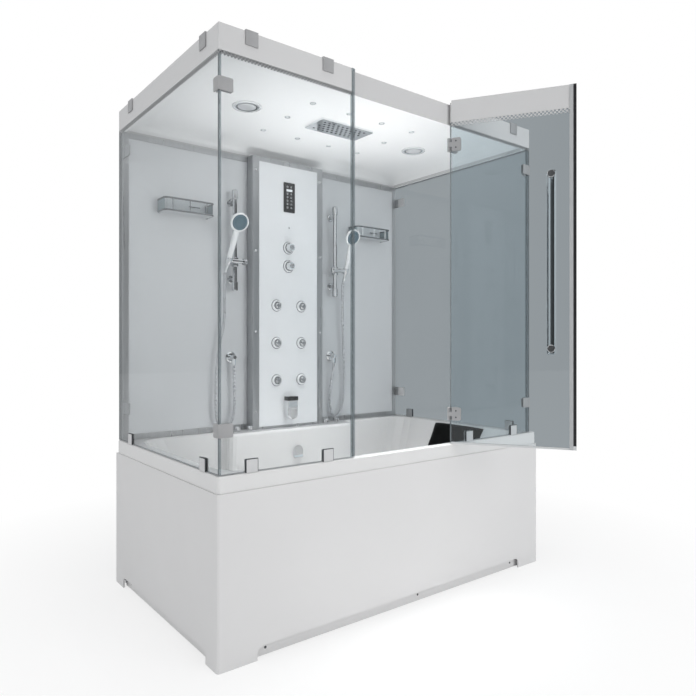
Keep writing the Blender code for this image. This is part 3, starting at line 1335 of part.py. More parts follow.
def make_jet_nozzles():
    """Ball nozzles that tilt in the column's sockets."""
    radius = JET_BALL_RADIUS
    rim_angle = degrees(acos(JET_FACE / radius))
    profile = []
    for i in range(7):
        angle = radians(165 + (rim_angle - 165) * i / 6)
        profile.append((radius * sin(angle), radius * cos(angle)))
    profile.append((JET_BORE_RADIUS, JET_FACE))
    profile.append((JET_BORE_RADIUS, JET_FACE - JET_BORE_DEPTH))
    for number, (x, z) in enumerate(jet_places(), 1):
        centre = (x, jet_centre_y(), z)
        nozzle = turned(profile, centre, (0, -1, 0), MID_TURN_STEPS)
        add_node(f"jet_nozzle_{number}", nozzle, "chrome", centre)


def make_steam_outlet():
    """A round-bottomed outlet body with an aroma cup in its top."""
    radius = STEAM_OUTLET_WIDTH / 2
    back = COLUMN_FRONT - GAP
    low = STEAM_OUTLET_TOP - STEAM_OUTLET_HEIGHT
    rings = []
    for inset, y in ((0, back), (0, back - STEAM_OUTLET_DEPTH + STEAM_OUTLET_EDGE),
                     (STEAM_OUTLET_EDGE / 3, back - STEAM_OUTLET_DEPTH + STEAM_OUTLET_EDGE / 3),
                     (STEAM_OUTLET_EDGE, back - STEAM_OUTLET_DEPTH)):
        outline = (arc(0, low + radius, radius - inset, 180, 360, 12)
                   + [(radius - inset, STEAM_OUTLET_TOP - inset),
                      (-radius + inset, STEAM_OUTLET_TOP - inset)])
        rings.append([Vector((x, y, z)) for x, z in outline])
    middle = back - STEAM_OUTLET_DEPTH / 2
    cup = rod((0, middle, STEAM_OUTLET_TOP - STEAM_CUP_DEPTH), (0, middle, STEAM_OUTLET_TOP + OVERRUN),
              STEAM_CUP_RADIUS)
    add_node("steam_outlet", cut(loft(rings), cup), "chrome")


# Roof


def roof_ring(inset, level):
    x_low = GLASS_LEFT + GLASS_THICK + ROOF_GLASS_CLEARANCE
    x_high = GLASS_RIGHT - GLASS_THICK - ROOF_GLASS_CLEARANCE
    y_low = GLASS_FRONT + GLASS_THICK + ROOF_GLASS_CLEARANCE
    return lifted(rounded(x_low + inset, x_high - inset, y_low + inset, REAR - ROOF_REAR_INSET - inset,
                          ROOF_CORNER_RADIUS + inset), level)


def cove_point(angle):
    inset = ROOF_LIP + COVE_WIDTH * (1 - cos(radians(angle)))
    return inset, ROOF_BOTTOM + COVE_RISE * sin(radians(angle))


def make_roof_tray():
    """A moulded tray: outer fascia, a cove up to the ceiling, and the clips over the pane tops."""
    top = ROOF_BOTTOM + ROOF_HEIGHT
    under = [cove_point(angle) for angle in (90, 75, 60, 45, 30, 15, 0)]
    rings = [roof_ring(*point) for point in under]
    rings += [roof_ring(0, ROOF_BOTTOM), roof_ring(0, top), roof_ring(ROOF_LIP, top)]
    upper = [cove_point(angle) for angle in (30, 45, 60, 75, 90)]
    rings.append(roof_ring(ROOF_LIP, upper[0][1]))
    rings += [roof_ring(inset, level + ROOF_SKIN) for inset, level in upper]
    tray = loft(rings)
    clips = []
    over = GLASS_TOP + GAP
    inside = GLASS_THICK + GAP
    anchor = GLASS_THICK + ROOF_GLASS_CLEARANCE + ROOF_LIP / 2
    low = GLASS_TOP - CLIP_HEIGHT
    outline = [(CLIP_WRAP, low), (CLIP_WRAP, over + CLIP_PLATE), (-anchor, over + CLIP_PLATE),
               (-anchor, low), (-inside, low), (-inside, over), (GAP, over), (GAP, low)]
    for side in (-1, 1):
        for place, along in clip_places(side):
            clips.append(clip_solid(place, along, outline))
    tray = join(tray, *clips)
    holes = [rod((RAIN_X, RAIN_Y, CEILING - OVERRUN), (RAIN_X, RAIN_Y, CEILING + ROOF_SKIN + OVERRUN),
                 RAIN_BOSS_RADIUS + GAP)]
    for sign in (-1, 1):
        x = sign * SPEAKER_X
        holes.append(rod((x, SPEAKER_Y, CEILING - OVERRUN), (x, SPEAKER_Y, CEILING + ROOF_SKIN + OVERRUN),
                         SPEAKER_CAN + GAP, TURN_STEPS))
    add_node("roof_tray", cut(tray, *holes), "roof")


def make_rain_shower():
    """A flat spray plate under the ceiling with its inlet through the roof."""
    top = CEILING - GAP
    half_x = RAIN_LENGTH / 2
    half_y = RAIN_WIDTH / 2
    rings = []
    for inset, level in ((RAIN_THICK / 3, top - RAIN_THICK), (0, top - RAIN_THICK * 2 / 3), (0, top)):
        rings.append(lifted(rounded(RAIN_X - half_x + inset, RAIN_X + half_x - inset,
                                    RAIN_Y - half_y + inset, RAIN_Y + half_y - inset, RAIN_CORNER), level))
    boss = rod((RAIN_X, RAIN_Y, top - RAIN_THICK / 2), (RAIN_X, RAIN_Y, top + RAIN_BOSS_HEIGHT),
               RAIN_BOSS_RADIUS)
    add_node("rain_shower", join(loft(rings), boss), "chrome")


def make_speakers():
    """Round speakers: a chrome rim with a recessed cone under the ceiling and a can above it."""
    top = CEILING - GAP
    low = top - SPEAKER_RIM
    for name, sign in (("speaker_left", -1), ("speaker_right", 1)):
        mesh = turned(((SPEAKER_CAN * 0.9, top + SPEAKER_CAN_HEIGHT),
                       (SPEAKER_CAN, top + SPEAKER_CAN_HEIGHT * 0.85), (SPEAKER_CAN, top),
                       (SPEAKER_RADIUS, top), (SPEAKER_RADIUS, top - SPEAKER_RIM / 3),
                       (SPEAKER_RADIUS - SPEAKER_RIM, low), (SPEAKER_CONE, low),
                       (SPEAKER_CONE - SPEAKER_RIM, top - SPEAKER_RIM * 0.2),
                       (SPEAKER_CONE / 2, top), (SPEAKER_CONE / 4, low + SPEAKER_RIM / 3)),
                      (sign * SPEAKER_X, SPEAKER_Y, 0))
        add_node(name, mesh, "chrome")


# Hand shower sets


def make_rail(name, sign):
    """A riser rail with end caps and two arms to feet on the wall."""
    x = sign * RAIL_X
    top = RAIL_BOTTOM + RAIL_LENGTH
    cap = RAIL_CAP_RADIUS
    edge = cap / 4
    pieces = [turned(((cap - edge, RAIL_BOTTOM), (cap, RAIL_BOTTOM + edge),
                      (cap, RAIL_BOTTOM + RAIL_CAP_LENGTH),
                      (RAIL_RADIUS, RAIL_BOTTOM + RAIL_CAP_LENGTH + edge),
                      (RAIL_RADIUS, top - RAIL_CAP_LENGTH - edge), (cap, top - RAIL_CAP_LENGTH),
                      (cap, top - edge), (cap - edge, top)), (x, RAIL_Y, 0), steps=MID_TURN_STEPS)]
    for level in (RAIL_BOTTOM + RAIL_FOOT_BOTTOM_INSET, top - RAIL_FOOT_TOP_INSET):
        pieces.append(rod((x, RAIL_Y, level), (x, WALL_Y - RAIL_FOOT_THICK / 2, level), RAIL_ARM_RADIUS))
        pieces.append(turned(((RAIL_FOOT_RADIUS, GAP), (RAIL_FOOT_RADIUS, RAIL_FOOT_THICK / 2),
                              (RAIL_FOOT_RADIUS * 0.8, RAIL_FOOT_THICK)),
                             (x, WALL_Y, level), (0, -1, 0), MID_TURN_STEPS))
    add_node(name, join(*pieces), "chrome")


def slider_origin(sign):
    return (sign * RAIL_X, RAIL_Y, SLIDER_Z)


def make_slider(name, sign):
    """A clamp round the rail, with a cross arm to the holder and a clamp knob on its other side."""
    x, y, z = slider_origin(sign)
    half = SLIDER_HEIGHT / 2
    edge = SLIDER_RADIUS / 5
    barrel = turned(((SLIDER_RADIUS - edge, z - half), (SLIDER_RADIUS, z - half + edge),
                     (SLIDER_RADIUS, z + half - edge), (SLIDER_RADIUS - edge, z + half)),
                    (x, y, 0), steps=MID_TURN_STEPS)
    width = SLIDER_ARM_RADIUS * 0.8
    link = block((x - width, x + width), (HOLDER_Y, y), (z - width, z + width))
    holder_x = sign * (RAIL_X + HOLDER_OFFSET - HOLDER_BOSS_REACH - GAP)
    radius = SLIDER_KNOB_RADIUS
    knob_start = SLIDER_KNOB_REACH - SLIDER_KNOB_LENGTH
    cross_x = x - sign * (knob_start + SLIDER_KNOB_LENGTH / 2)
    cross = rod((cross_x, HOLDER_Y, z), (holder_x, HOLDER_Y, z), SLIDER_ARM_RADIUS)
    knob = turned(((radius * 0.8, 0), (radius, SLIDER_KNOB_LENGTH * 0.2),
                   (radius, SLIDER_KNOB_LENGTH * 0.8), (radius * 0.8, SLIDER_KNOB_LENGTH)),
                  (x - sign * knob_start, HOLDER_Y, z), (-sign, 0, 0), MID_TURN_STEPS)
    bore = rod((x, y, z - half - OVERRUN), (x, y, z + half + OVERRUN), RAIL_RADIUS + GAP, MID_TURN_STEPS)
    add_node(name, cut(join(barrel, link, cross, knob), bore), "chrome", slider_origin(sign))


def holder_origin(sign):
    return Vector((sign * (RAIL_X + HOLDER_OFFSET), HOLDER_Y, SLIDER_Z))


def handle_direction(sign):
    return Vector((-sign * HANDLE_LEAN_X, -HANDLE_LEAN_Y, HANDLE_RISE)).normalized()


def make_handset(name, sign):
    """A hand shower in its tilting holder cup: hose sleeve, grip and a round head with a recessed face."""
    centre = holder_origin(sign)
    up = handle_direction(sign)
    reach = Vector((HANDLE_LEAN_X, HANDLE_LEAN_Y, HANDLE_RISE)).length
    out = Vector((0, -1, 0))
    normal = (out - up * out.dot(up)).normalized()
    grip = HAND_GRIP_RADIUS
    length = reach - HEAD_RADIUS * 0.3
    handle = turned(((HAND_BASE_TIP, -HAND_BASE_LENGTH), (HAND_BASE_RADIUS, -HOLDER_HEIGHT / 2),
                     (grip, -HOLDER_HEIGHT / 3), (grip, length * 0.3), (grip * 1.15, length * 0.55),
                     (grip * 0.95, length * 0.8), (grip, length)), centre, up, MID_TURN_STEPS)
    half = HOLDER_HEIGHT / 2
    cup = turned(((HOLDER_RADIUS - HOLDER_EDGE, -half), (HOLDER_RADIUS, HOLDER_EDGE - half),
                  (HOLDER_RADIUS, half - HOLDER_EDGE), (HOLDER_RADIUS - HOLDER_EDGE, half)),
                 centre, up, MID_TURN_STEPS)
    boss = rod(centre, centre - Vector((sign * HOLDER_BOSS_REACH, 0, 0)), HOLDER_BOSS_RADIUS)
    head_centre = centre + up * reach
    radius = HEAD_RADIUS
    head = turned(((radius * 0.35, -HEAD_DOME), (radius * 0.8, -HEAD_DOME * 0.6),
                   (radius, 0), (radius * 0.95, HEAD_THICK), (HEAD_FACE_RADIUS, HEAD_THICK),
                   (HEAD_FACE_RADIUS, HEAD_THICK - HEAD_FACE_RECESS)), head_centre, normal)
    add_node(name, join(handle, cup, boss, head), "chrome", centre)


def make_elbow(name, sign):
    """A wall outlet: a round plate, a short body and a nozzle that points down."""
    x = sign * RAIL_X
    plate = turned(((ELBOW_DISC_RADIUS, GAP), (ELBOW_DISC_RADIUS, ELBOW_DISC_THICK / 2),
                    (ELBOW_DISC_RADIUS * 0.75, ELBOW_DISC_THICK)), (x, WALL_Y, ELBOW_Z), (0, -1, 0))
    body = turned(((ELBOW_RADIUS, ELBOW_DISC_THICK / 2), (ELBOW_RADIUS, ELBOW_FORWARD + ELBOW_RADIUS * 0.5),
                   (ELBOW_RADIUS * 0.7, ELBOW_FORWARD + ELBOW_RADIUS)),
                  (x, WALL_Y, ELBOW_Z), (0, -1, 0), MID_TURN_STEPS)
    nozzle = rod((x, ELBOW_Y, ELBOW_Z), (x, ELBOW_Y, ELBOW_Z - ELBOW_OUTLET_DROP), ELBOW_OUTLET_RADIUS)
    add_node(name, join(plate, body, nozzle), "chrome")


def make_hose(name, side, sign):
    """A flexible hose from the foot of the hand shower, round a hanging loop, up to the elbow."""
    up = handle_direction(sign)
    start = holder_origin(sign) - up * (HAND_BASE_LENGTH + GAP)
    end = Vector((sign * RAIL_X, ELBOW_Y, ELBOW_Z - ELBOW_OUTLET_DROP - GAP))
    lead = 2 * HOSE_RADIUS
    route = [start - up * lead] + list(HOSE_ROUTES[side]) + [end - Vector((0, 0, lead))]
    points = [start] + smooth(route, HOSE_SPACING) + [end]
    curve = bpy.data.curves.new(name, "CURVE")
    curve.dimensions = "3D"
    curve.bevel_depth = HOSE_RADIUS
    curve.bevel_resolution = 2
    curve.use_fill_caps = True
    spline = curve.splines.new("POLY")
    spline.points.add(len(points) - 1)
    for spot, point in zip(spline.points, points):
        spot.co = (*point, 1)
    curve.materials.append(finish("hose"))
    bpy.context.scene.collection.objects.link(bpy.data.objects.new(name, curve))


# Wall shelves


def make_basket(name, sign):
    """A wall shelf: a glass floor in a wire frame with two end mounts."""
    half = (BASKET_OUTER - BASKET_INNER) / 2
    x = sign * (BASKET_OUTER + BASKET_INNER) / 2
    wire = BASKET_WIRE
    back = WALL_Y - GAP
    front = back - BASKET_REACH + wire
    low = BASKET_BOTTOM + wire
    high = BASKET_BOTTOM + BASKET_HEIGHT - wire
    corner = BASKET_CORNER
    side = half - wire
    path = ([(x - side, back - BASKET_MOUNT_DEPTH / 2)]
            + arc(x - side + corner, front + corner, corner, 180, 270)
            + arc(x + side - corner, front + corner, corner, 270, 360)
            + [(x + side, back - BASKET_MOUNT_DEPTH / 2)])
    plate_back = back - BASKET_MOUNT_DEPTH / 2
    plate_outline = ([(x - side, plate_back)] + arc(x - side + corner, front + corner, corner, 180, 270)
                     + arc(x + side - corner, front + corner, corner, 270, 360) + [(x + side, plate_back)])
    plate = prism(plate_outline, low - BASKET_PLATE / 2, low + BASKET_PLATE / 2)
    pieces = [sweep([(a, b, level) for a, b in path], wire, WIRE_STEPS) for level in (low, high)]
    for share in BASKET_POST_SHARES:
        post_x = x - side + corner + (2 * (side - corner)) * share
        pieces.append(rod((post_x, front, low), (post_x, front, high), wire * 0.6, 6))
    mount = BASKET_MOUNT_WIDTH / 2
    for sign_x in (-1, 1):
        centre = x + sign_x * (side - mount / 2)
        outline = cut_corners(centre - mount, centre + mount, BASKET_BOTTOM - wire / 2,
                              BASKET_BOTTOM + BASKET_HEIGHT + wire / 2, wire)
        pieces.append(prism(outline, back - BASKET_MOUNT_DEPTH, back - GAP, "Y"))
    add_node(name, join(plate, *pieces), "chrome")


# Head cushion


def make_head_cushion():
    """A crowned foam pad on the straight slope of the right end, pinched in along its sides."""
    slope = FLOOR_RIGHT_INSET * STRAIGHT_WALL_SHARES[1] / STRAIGHT_WALL_SHARES[0]
    slope /= RIM_TOP - FLOOR_TOP - BASIN_LIP_RADIUS
    down = Vector((-slope, 0, -1)).normalized()
    out = Vector((-1, 0, slope)).normalized()
    start_level = RIM_TOP - BASIN_LIP_RADIUS
    start = Vector((BASIN_RIGHT, CUSHION_Y, start_level)) + out * CUSHION_SEAT
    start += down * (CUSHION_TOP_DROP - CUSHION_EDGE / 2)
    rings = []
    rows = 10
    columns = 12
    for i in range(rows + 1):
        along = i / rows
        bow = 1 - abs(2 * along - 1) ** 3
        thick = CUSHION_EDGE + (CUSHION_THICK - CUSHION_EDGE) * bow ** CUSHION_CROWN_SHARE
        thick -= CUSHION_DIP * max(0, 1 - (4 * along - 1.9) ** 2)
        half = CUSHION_WIDTH / 2 - CUSHION_PINCH * bow
        ring = []
        for j in range(columns + 1):
            across = 1 - 2 * j / columns
            crown = (1 - abs(across) ** 4) ** CUSHION_CROWN_SHARE
            ring.append((across * half, CUSHION_EDGE / 2 + (thick - CUSHION_EDGE / 2) * crown))
        ring += [(-half, CUSHION_EDGE / 6), (-half * 0.9, 0), (0, 0), (half * 0.9, 0),
                 (half, CUSHION_EDGE / 6)]
        base = start + down * (CUSHION_LENGTH * along)
        rings.append([base + Vector((0, across, 0)) + out * lift for across, lift in ring])
    add_node("head_cushion", loft(rings), "foam")


def build():
    clear_scene()
    make_tub_shell()
    make_front_apron()
    make_side_apron("left_apron", -1)
    make_side_apron("right_apron", 1)
    make_toe_board()
    make_base_frame()
    make_waste_trap()
    make_drain_plug()
    make_overflow_knob()
    make_steam_generator()
    make_deck_knobs()
    make_glass()
    make_rim_channel("rim_channel_left", -1)
    make_rim_channel("rim_channel_right", 1)
    make_jamb_seal()
    make_door_glass()
    make_door_handle()
    make_door_seal()
    make_hinge("hinge_upper", HINGE_UPPER_Z)
    make_hinge("hinge_lower", HINGE_LOWER_Z)
    make_back_frame()
    make_back_panels()
    make_column_housing()
    make_column_panel()
    make_display()
    make_column_knobs()
    make_jet_nozzles()
    make_steam_outlet()
    make_roof_tray()
    make_rain_shower()
    make_speakers()
    for side, sign in (("left", -1), ("right", 1)):
        make_rail("rail_" + side, sign)
        make_slider("slider_" + side, sign)
        make_handset("handset_" + side, sign)
        make_elbow("elbow_" + side, sign)
        make_hose("hose_" + side, side, sign)
        make_basket("shelf_" + side, sign)
    make_head_cushion()


build()
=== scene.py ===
"""Looks of the tub and shower unit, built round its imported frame. Units are metres and +Z is up."""

import json
from math import cos, pi, radians, sin, tau

import bmesh
import bpy
from mathutils import Matrix, Vector


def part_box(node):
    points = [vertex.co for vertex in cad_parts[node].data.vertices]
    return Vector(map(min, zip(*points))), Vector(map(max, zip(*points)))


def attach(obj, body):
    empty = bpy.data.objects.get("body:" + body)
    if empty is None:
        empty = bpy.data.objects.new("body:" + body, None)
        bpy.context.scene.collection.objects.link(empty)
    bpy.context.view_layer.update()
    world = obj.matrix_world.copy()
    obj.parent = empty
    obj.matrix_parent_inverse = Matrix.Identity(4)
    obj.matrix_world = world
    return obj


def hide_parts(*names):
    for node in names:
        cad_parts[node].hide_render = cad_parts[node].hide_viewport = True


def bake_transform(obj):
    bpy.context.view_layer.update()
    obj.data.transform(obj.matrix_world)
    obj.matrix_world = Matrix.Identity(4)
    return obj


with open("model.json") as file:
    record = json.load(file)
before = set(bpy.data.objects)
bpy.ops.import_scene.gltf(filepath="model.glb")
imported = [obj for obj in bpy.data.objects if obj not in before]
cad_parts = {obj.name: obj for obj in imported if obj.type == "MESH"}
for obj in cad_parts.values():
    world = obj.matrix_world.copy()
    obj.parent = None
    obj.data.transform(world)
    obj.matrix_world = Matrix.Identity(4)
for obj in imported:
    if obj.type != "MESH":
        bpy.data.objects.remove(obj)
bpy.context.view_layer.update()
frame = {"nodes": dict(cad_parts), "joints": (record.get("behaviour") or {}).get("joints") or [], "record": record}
NODES = frame["nodes"]
JOINTS = {joint["name"]: joint for joint in frame["joints"]}

# Camera, matched to the photograph: a level view with the front and the left side in sight
CAMERA_PLACE = (-1.73985, -2.31452, 1.05585)
CAMERA_TURN = -38.04
CAMERA_LENS = 32.054
CAMERA_SHIFT_Y = -0.00503

# Facets of round pieces
ROUND_STEPS = 48
FINE_STEPS = 24
CORNER_STEPS = 8
SHARP_ANGLE = 35.0


# Camera, light and floor


def make_camera():
    camera = bpy.data.objects.new("camera", bpy.data.cameras.new("camera"))
    camera.data.lens = CAMERA_LENS
    camera.data.shift_y = CAMERA_SHIFT_Y
    camera.location = CAMERA_PLACE
    camera.rotation_euler = (pi / 2, 0, radians(CAMERA_TURN))
    bpy.context.scene.collection.objects.link(camera)
    bpy.context.scene.camera = camera


def make_light(name, place, target, size, power, spread_angle):
    """A soft square lamp that shines from a place towards a target."""
    lamp = bpy.data.lights.new(name, "AREA")
    lamp.size = size
    lamp.spread = spread_angle
    lamp.energy = power
    item = bpy.data.objects.new(name, lamp)
    item.location = place
    item.rotation_euler = (Vector(target) - Vector(place)).to_track_quat("-Z", "Y").to_euler()
    item.visible_camera = False
    item.visible_glossy = False
    bpy.context.scene.collection.objects.link(item)


def make_world():
    """White to the eye. Metal sees soft bands and dark flags, and glass shows a grey backdrop."""
    world = bpy.data.worlds.new("studio")
    bpy.context.scene.world = world
    world.use_nodes = True
    tree = world.node_tree
    tree.nodes.clear()
    path = add_node(tree, "LightPath").outputs
    split = add_node(tree, "SeparateXYZ", {0: add_node(tree, "TexCoord").outputs["Generated"]}).outputs
    rise = ramp(tree, spread(tree, split["Z"], 0, 1, -1, 1), MIRROR_RISE)
    angle = math(tree, "ARCTAN2", split["Y"], split["X"])
    turn = ramp(tree, spread(tree, angle, 0, 1, -pi, pi), MIRROR_TURN)
    mirror = add_node(tree, "Background", {"Color": mix_colours(tree, 1.0, rise, turn, "MULTIPLY")})
    soft = add_node(tree, "Background", {"Color": (*AMBIENT_COLOUR, 1), "Strength": AMBIENT})
    seen = add_node(tree, "Background", {"Color": backdrop(tree, path)})
    looked = math(tree, "MAXIMUM", path["Is Camera Ray"], path["Is Transmission Ray"])
    shared = mix_shaders(tree, path["Is Glossy Ray"], soft.outputs[0], mirror.outputs[0])
    add_node(tree, "OutputWorld", {"Surface": mix_shaders(tree, looked, shared, seen.outputs[0])})


def ramp(tree, value, stops):
    """A grey ramp with (position, grey) stops."""
    node = add_node(tree, "ValToRGB", {"Fac": value})
    stack = node.color_ramp.elements
    for index, (position, grey) in enumerate(stops):
        stop = stack[index] if index < 2 else stack.new(position)
        stop.position = position
        stop.color = (grey, grey * 1.01, grey * 1.02, 1)
    return node.outputs["Color"]


def backdrop(tree, path):
    """White where nothing stands in front, and grey where a pane does."""
    behind = math(tree, "GREATER_THAN", path["Transparent Depth"], 0.5)
    return two_tone(tree, behind, (1, 1, 1), BEHIND_GLASS)


def make_floor():
    """A pale floor that looks white and keeps the soft shadow near the unit."""
    work = bmesh.new()
    bmesh.ops.create_grid(work, x_segments=1, y_segments=1, size=FLOOR_HALF)
    floor = bpy.data.objects.new("floor", finished(work, "floor"))
    bpy.context.scene.collection.objects.link(floor)
    material, tree, shader = new_material("floor")
    feed(tree, shader, {"Base Color": (*FLOOR_COLOUR, 1), "Roughness": FLOOR_ROUGHNESS,
                        "Specular IOR Level": 0.0})
    path = add_node(tree, "LightPath").outputs
    coords = add_node(tree, "TexCoord").outputs["Object"]
    far = add_node(tree, "VectorMath", {0: coords}, operation="LENGTH").outputs["Value"]
    fade = spread(tree, far, FLOOR_GLOW_SHARE, 1, *FLOOR_FADE)
    glow = add_node(tree, "Emission", {"Color": backdrop(tree, path)})
    reflected = add_node(tree, "Emission", {"Color": (*FLOOR_MIRROR, 1)})
    seen = math(tree, "MULTIPLY", path["Is Camera Ray"], fade)
    looked = mix_shaders(tree, seen, shader.outputs[0], glow.outputs[0])
    cover_material(tree, mix_shaders(tree, path["Is Glossy Ray"], looked, reflected.outputs[0]))
    floor.data.materials.append(material)


LAMP_SPREAD = radians(63.0)

# Lamps: name, place, target, size, power and spread
LAMPS = (
    ("key", (1.2, -5.0, 1.9), (0, 0, 1.1), 3.0, 88, pi),
    ("side", (-4.8, -0.6, 1.9), (0, 0, 1.1), 2.6, 44, pi),
    ("top", (0.0, -0.6, 5.0), (0, 0, 0), 3.0, 58, pi),
    ("downward", (0.0, -0.22, 1.97), (0, -0.22, 0), 0.5, 4.9, LAMP_SPREAD),
    ("upward", (0.0, -0.15, 0.42), (0, -0.15, 2), 0.5, 2.0, LAMP_SPREAD),
)
AMBIENT = 0.57
AMBIENT_COLOUR = (0.97, 0.985, 1.0)
BEHIND_GLASS = (0.345, 0.362, 0.375)

# What metal sees, as (share of the turn, grey): from below to above, and once round
MIRROR_RISE = ((0.0, 0.30), (1.0, 1.0), (0.44, 0.45), (0.50, 0.80), (0.62, 0.95))
MIRROR_TURN = ((0.0, 0.9), (1.0, 0.9), (0.065, 0.9), (0.085, 0.06), (0.180, 0.06), (0.20, 1.0),
               (0.27, 1.0), (0.285, 0.10), (0.325, 0.10), (0.34, 0.85), (0.43, 0.85), (0.45, 0.06),
               (0.54, 0.06), (0.57, 0.6), (0.80, 0.6), (0.84, 0.9), (0.905, 0.9), (0.925, 0.06),
               (0.975, 0.06))
FLOOR_COLOUR = (0.88, 0.88, 0.88)
FLOOR_ROUGHNESS = 0.8
FLOOR_MIRROR = (0.60, 0.61, 0.62)
FLOOR_HALF = 20.0
FLOOR_GLOW_SHARE = 0.72
FLOOR_FADE = (1.0, 2.2)


# Materials


def feed(tree, node, inputs):
    """Sets inputs of a node, each to a plain value or to the output of another node."""
    for key, value in inputs.items():
        if isinstance(value, bpy.types.NodeSocket):
            tree.links.new(value, node.inputs[key])
        else:
            node.inputs[key].default_value = value


def add_node(tree, kind, inputs=None, **settings):
    """A shader node of a kind, with its settings and inputs."""
    node = tree.nodes.new(f"ShaderNode{kind}")
    for key, value in settings.items():
        setattr(node, key, value)
    feed(tree, node, inputs or {})
    return node


def new_material(name):
    material = bpy.data.materials.new(name)
    material.use_nodes = True
    return material, material.node_tree, material.node_tree.nodes["Principled BSDF"]


def cover_material(tree, shading):
    """Shows a mixed shading on the surface in place of the plain one."""
    feed(tree, tree.nodes["Material Output"], {"Surface": shading})


def mix_shaders(tree, share, first, second):
    return add_node(tree, "MixShader", {0: share, 1: first, 2: second}).outputs[0]


def mix_colours(tree, share, first, second, blend="MIX"):
    inputs = {"Factor": share, "A": first, "B": second}
    return add_node(tree, "Mix", inputs, data_type="RGBA", blend_type=blend).outputs["Result"]


def object_coords(tree, stretch=(1, 1, 1)):
    """Coordinates fixed to the piece, stretched for grain."""
    coords = add_node(tree, "TexCoord").outputs["Object"]
    return add_node(tree, "Mapping", {"Vector": coords, "Scale": stretch}).outputs["Vector"]


def noise(tree, vector, scale, detail=3.0):
    return add_node(tree, "TexNoise", {"Vector": vector, "Scale": scale, "Detail": detail}).outputs["Fac"]


def spread(tree, value, low, high, from_low=0.3, from_high=0.7):
    """A value carried from one range to another; the first range suits a noise."""
    inputs = {"Value": value, "From Min": from_low, "From Max": from_high, "To Min": low, "To Max": high}
    return add_node(tree, "MapRange", inputs).outputs["Result"]


def two_tone(tree, value, dark, light):
    return mix_colours(tree, value, (*dark, 1), (*light, 1))


def math(tree, operation, *values):
    """A maths node; its inputs are sockets or plain numbers."""
    return add_node(tree, "Math", dict(enumerate(values)), operation=operation).outputs[0]


def dot(tree, vector, axis):
    """How far a vector reaches along an axis."""
    return add_node(tree, "VectorMath", {0: vector, 1: axis}, operation="DOT_PRODUCT").outputs["Value"]


def surface(name, colour, roughness, metallic=0.0, tone=0.015, tone_scale=3.0, swing=0.04,
            swing_scale=9.0, bump=0.02, bump_scale=400.0, bump_depth=0.0004, stretch=(1, 1, 1),
            coat=0.0, specular=0.5):
    """A finish with slow changes of tone, patches of gloss and a fine grain."""
    material, tree, shader = new_material(name)
    vector = object_coords(tree, stretch)
    dark = [part * (1 - tone) for part in colour]
    light = [min(1, part * (1 + tone)) for part in colour]
    slow = spread(tree, noise(tree, vector, tone_scale), 0, 1)
    patches = spread(tree, noise(tree, vector, swing_scale, 5.0), max(0.02, roughness - swing),
                     roughness + swing)
    grain = add_node(tree, "Bump", {"Strength": bump, "Distance": bump_depth,
                                    "Height": noise(tree, vector, bump_scale, 4.0)})
    feed(tree, shader, {"Base Color": two_tone(tree, slow, dark, light), "Roughness": patches,
                        "Normal": grain.outputs["Normal"], "Metallic": metallic, "Coat Weight": coat,
                        "Specular IOR Level": specular})
    return material


def underlay(material, source, colour, share_of):
    """Another colour on a finish wherever a share, worked out from a height or a normal, is low."""
    tree = material.node_tree
    shader = tree.nodes["Principled BSDF"]
    split = add_node(tree, "SeparateXYZ", {0: add_node(tree, "TexCoord").outputs[source]})
    own = shader.inputs["Base Color"].links[0].from_socket
    share = share_of(tree, split.outputs["Z"])
    feed(tree, shader, {"Base Color": mix_colours(tree, share, (*colour, 1), own)})
    return material


def roof_with_painted_light(outside, ceiling):
    """A moulded sheet whose underside is painted lighter than its outside: painted light standing for the light
    that falls on the ceiling.
    """
    material = surface("roof", ceiling, 0.34, tone=0.012, swing=0.02, bump=0.012, bump_scale=90,
                       specular=0.35)
    return underlay(material, "Normal", outside,
                    lambda tree, z: spread(tree, z, 1, 0, *LIT_UNDERSIDE_NORMALS))


def door_seal_look():
    """Black over the magnet strip, and pale along the bottom of the door."""
    material = surface("door_seal", (0.012, 0.012, 0.013), 0.4, tone=0.2, bump=0.03)
    return underlay(material, "Object", SEAL_BOTTOM_COLOUR,
                    lambda tree, z: math(tree, "GREATER_THAN", z, SEAL_BOTTOM_LEVEL))

def clear_plastic(name, colour, cover):
    """Soft see-through plastic: part of what lies behind shows through a grey body."""
    material = surface(name, colour, 0.35, tone=0.03, tone_scale=20, bump=0.03)
    tree = material.node_tree
    clear = add_node(tree, "BsdfTransparent", {"Color": (*PLASTIC_TINT, 1)})
    share = spread(tree, noise(tree, object_coords(tree), 8.0), cover - COVER_SWING, cover + COVER_SWING)
    cover_material(tree, mix_shaders(tree, share, clear.outputs[0],
                                     tree.nodes["Principled BSDF"].outputs[0]))
    return material


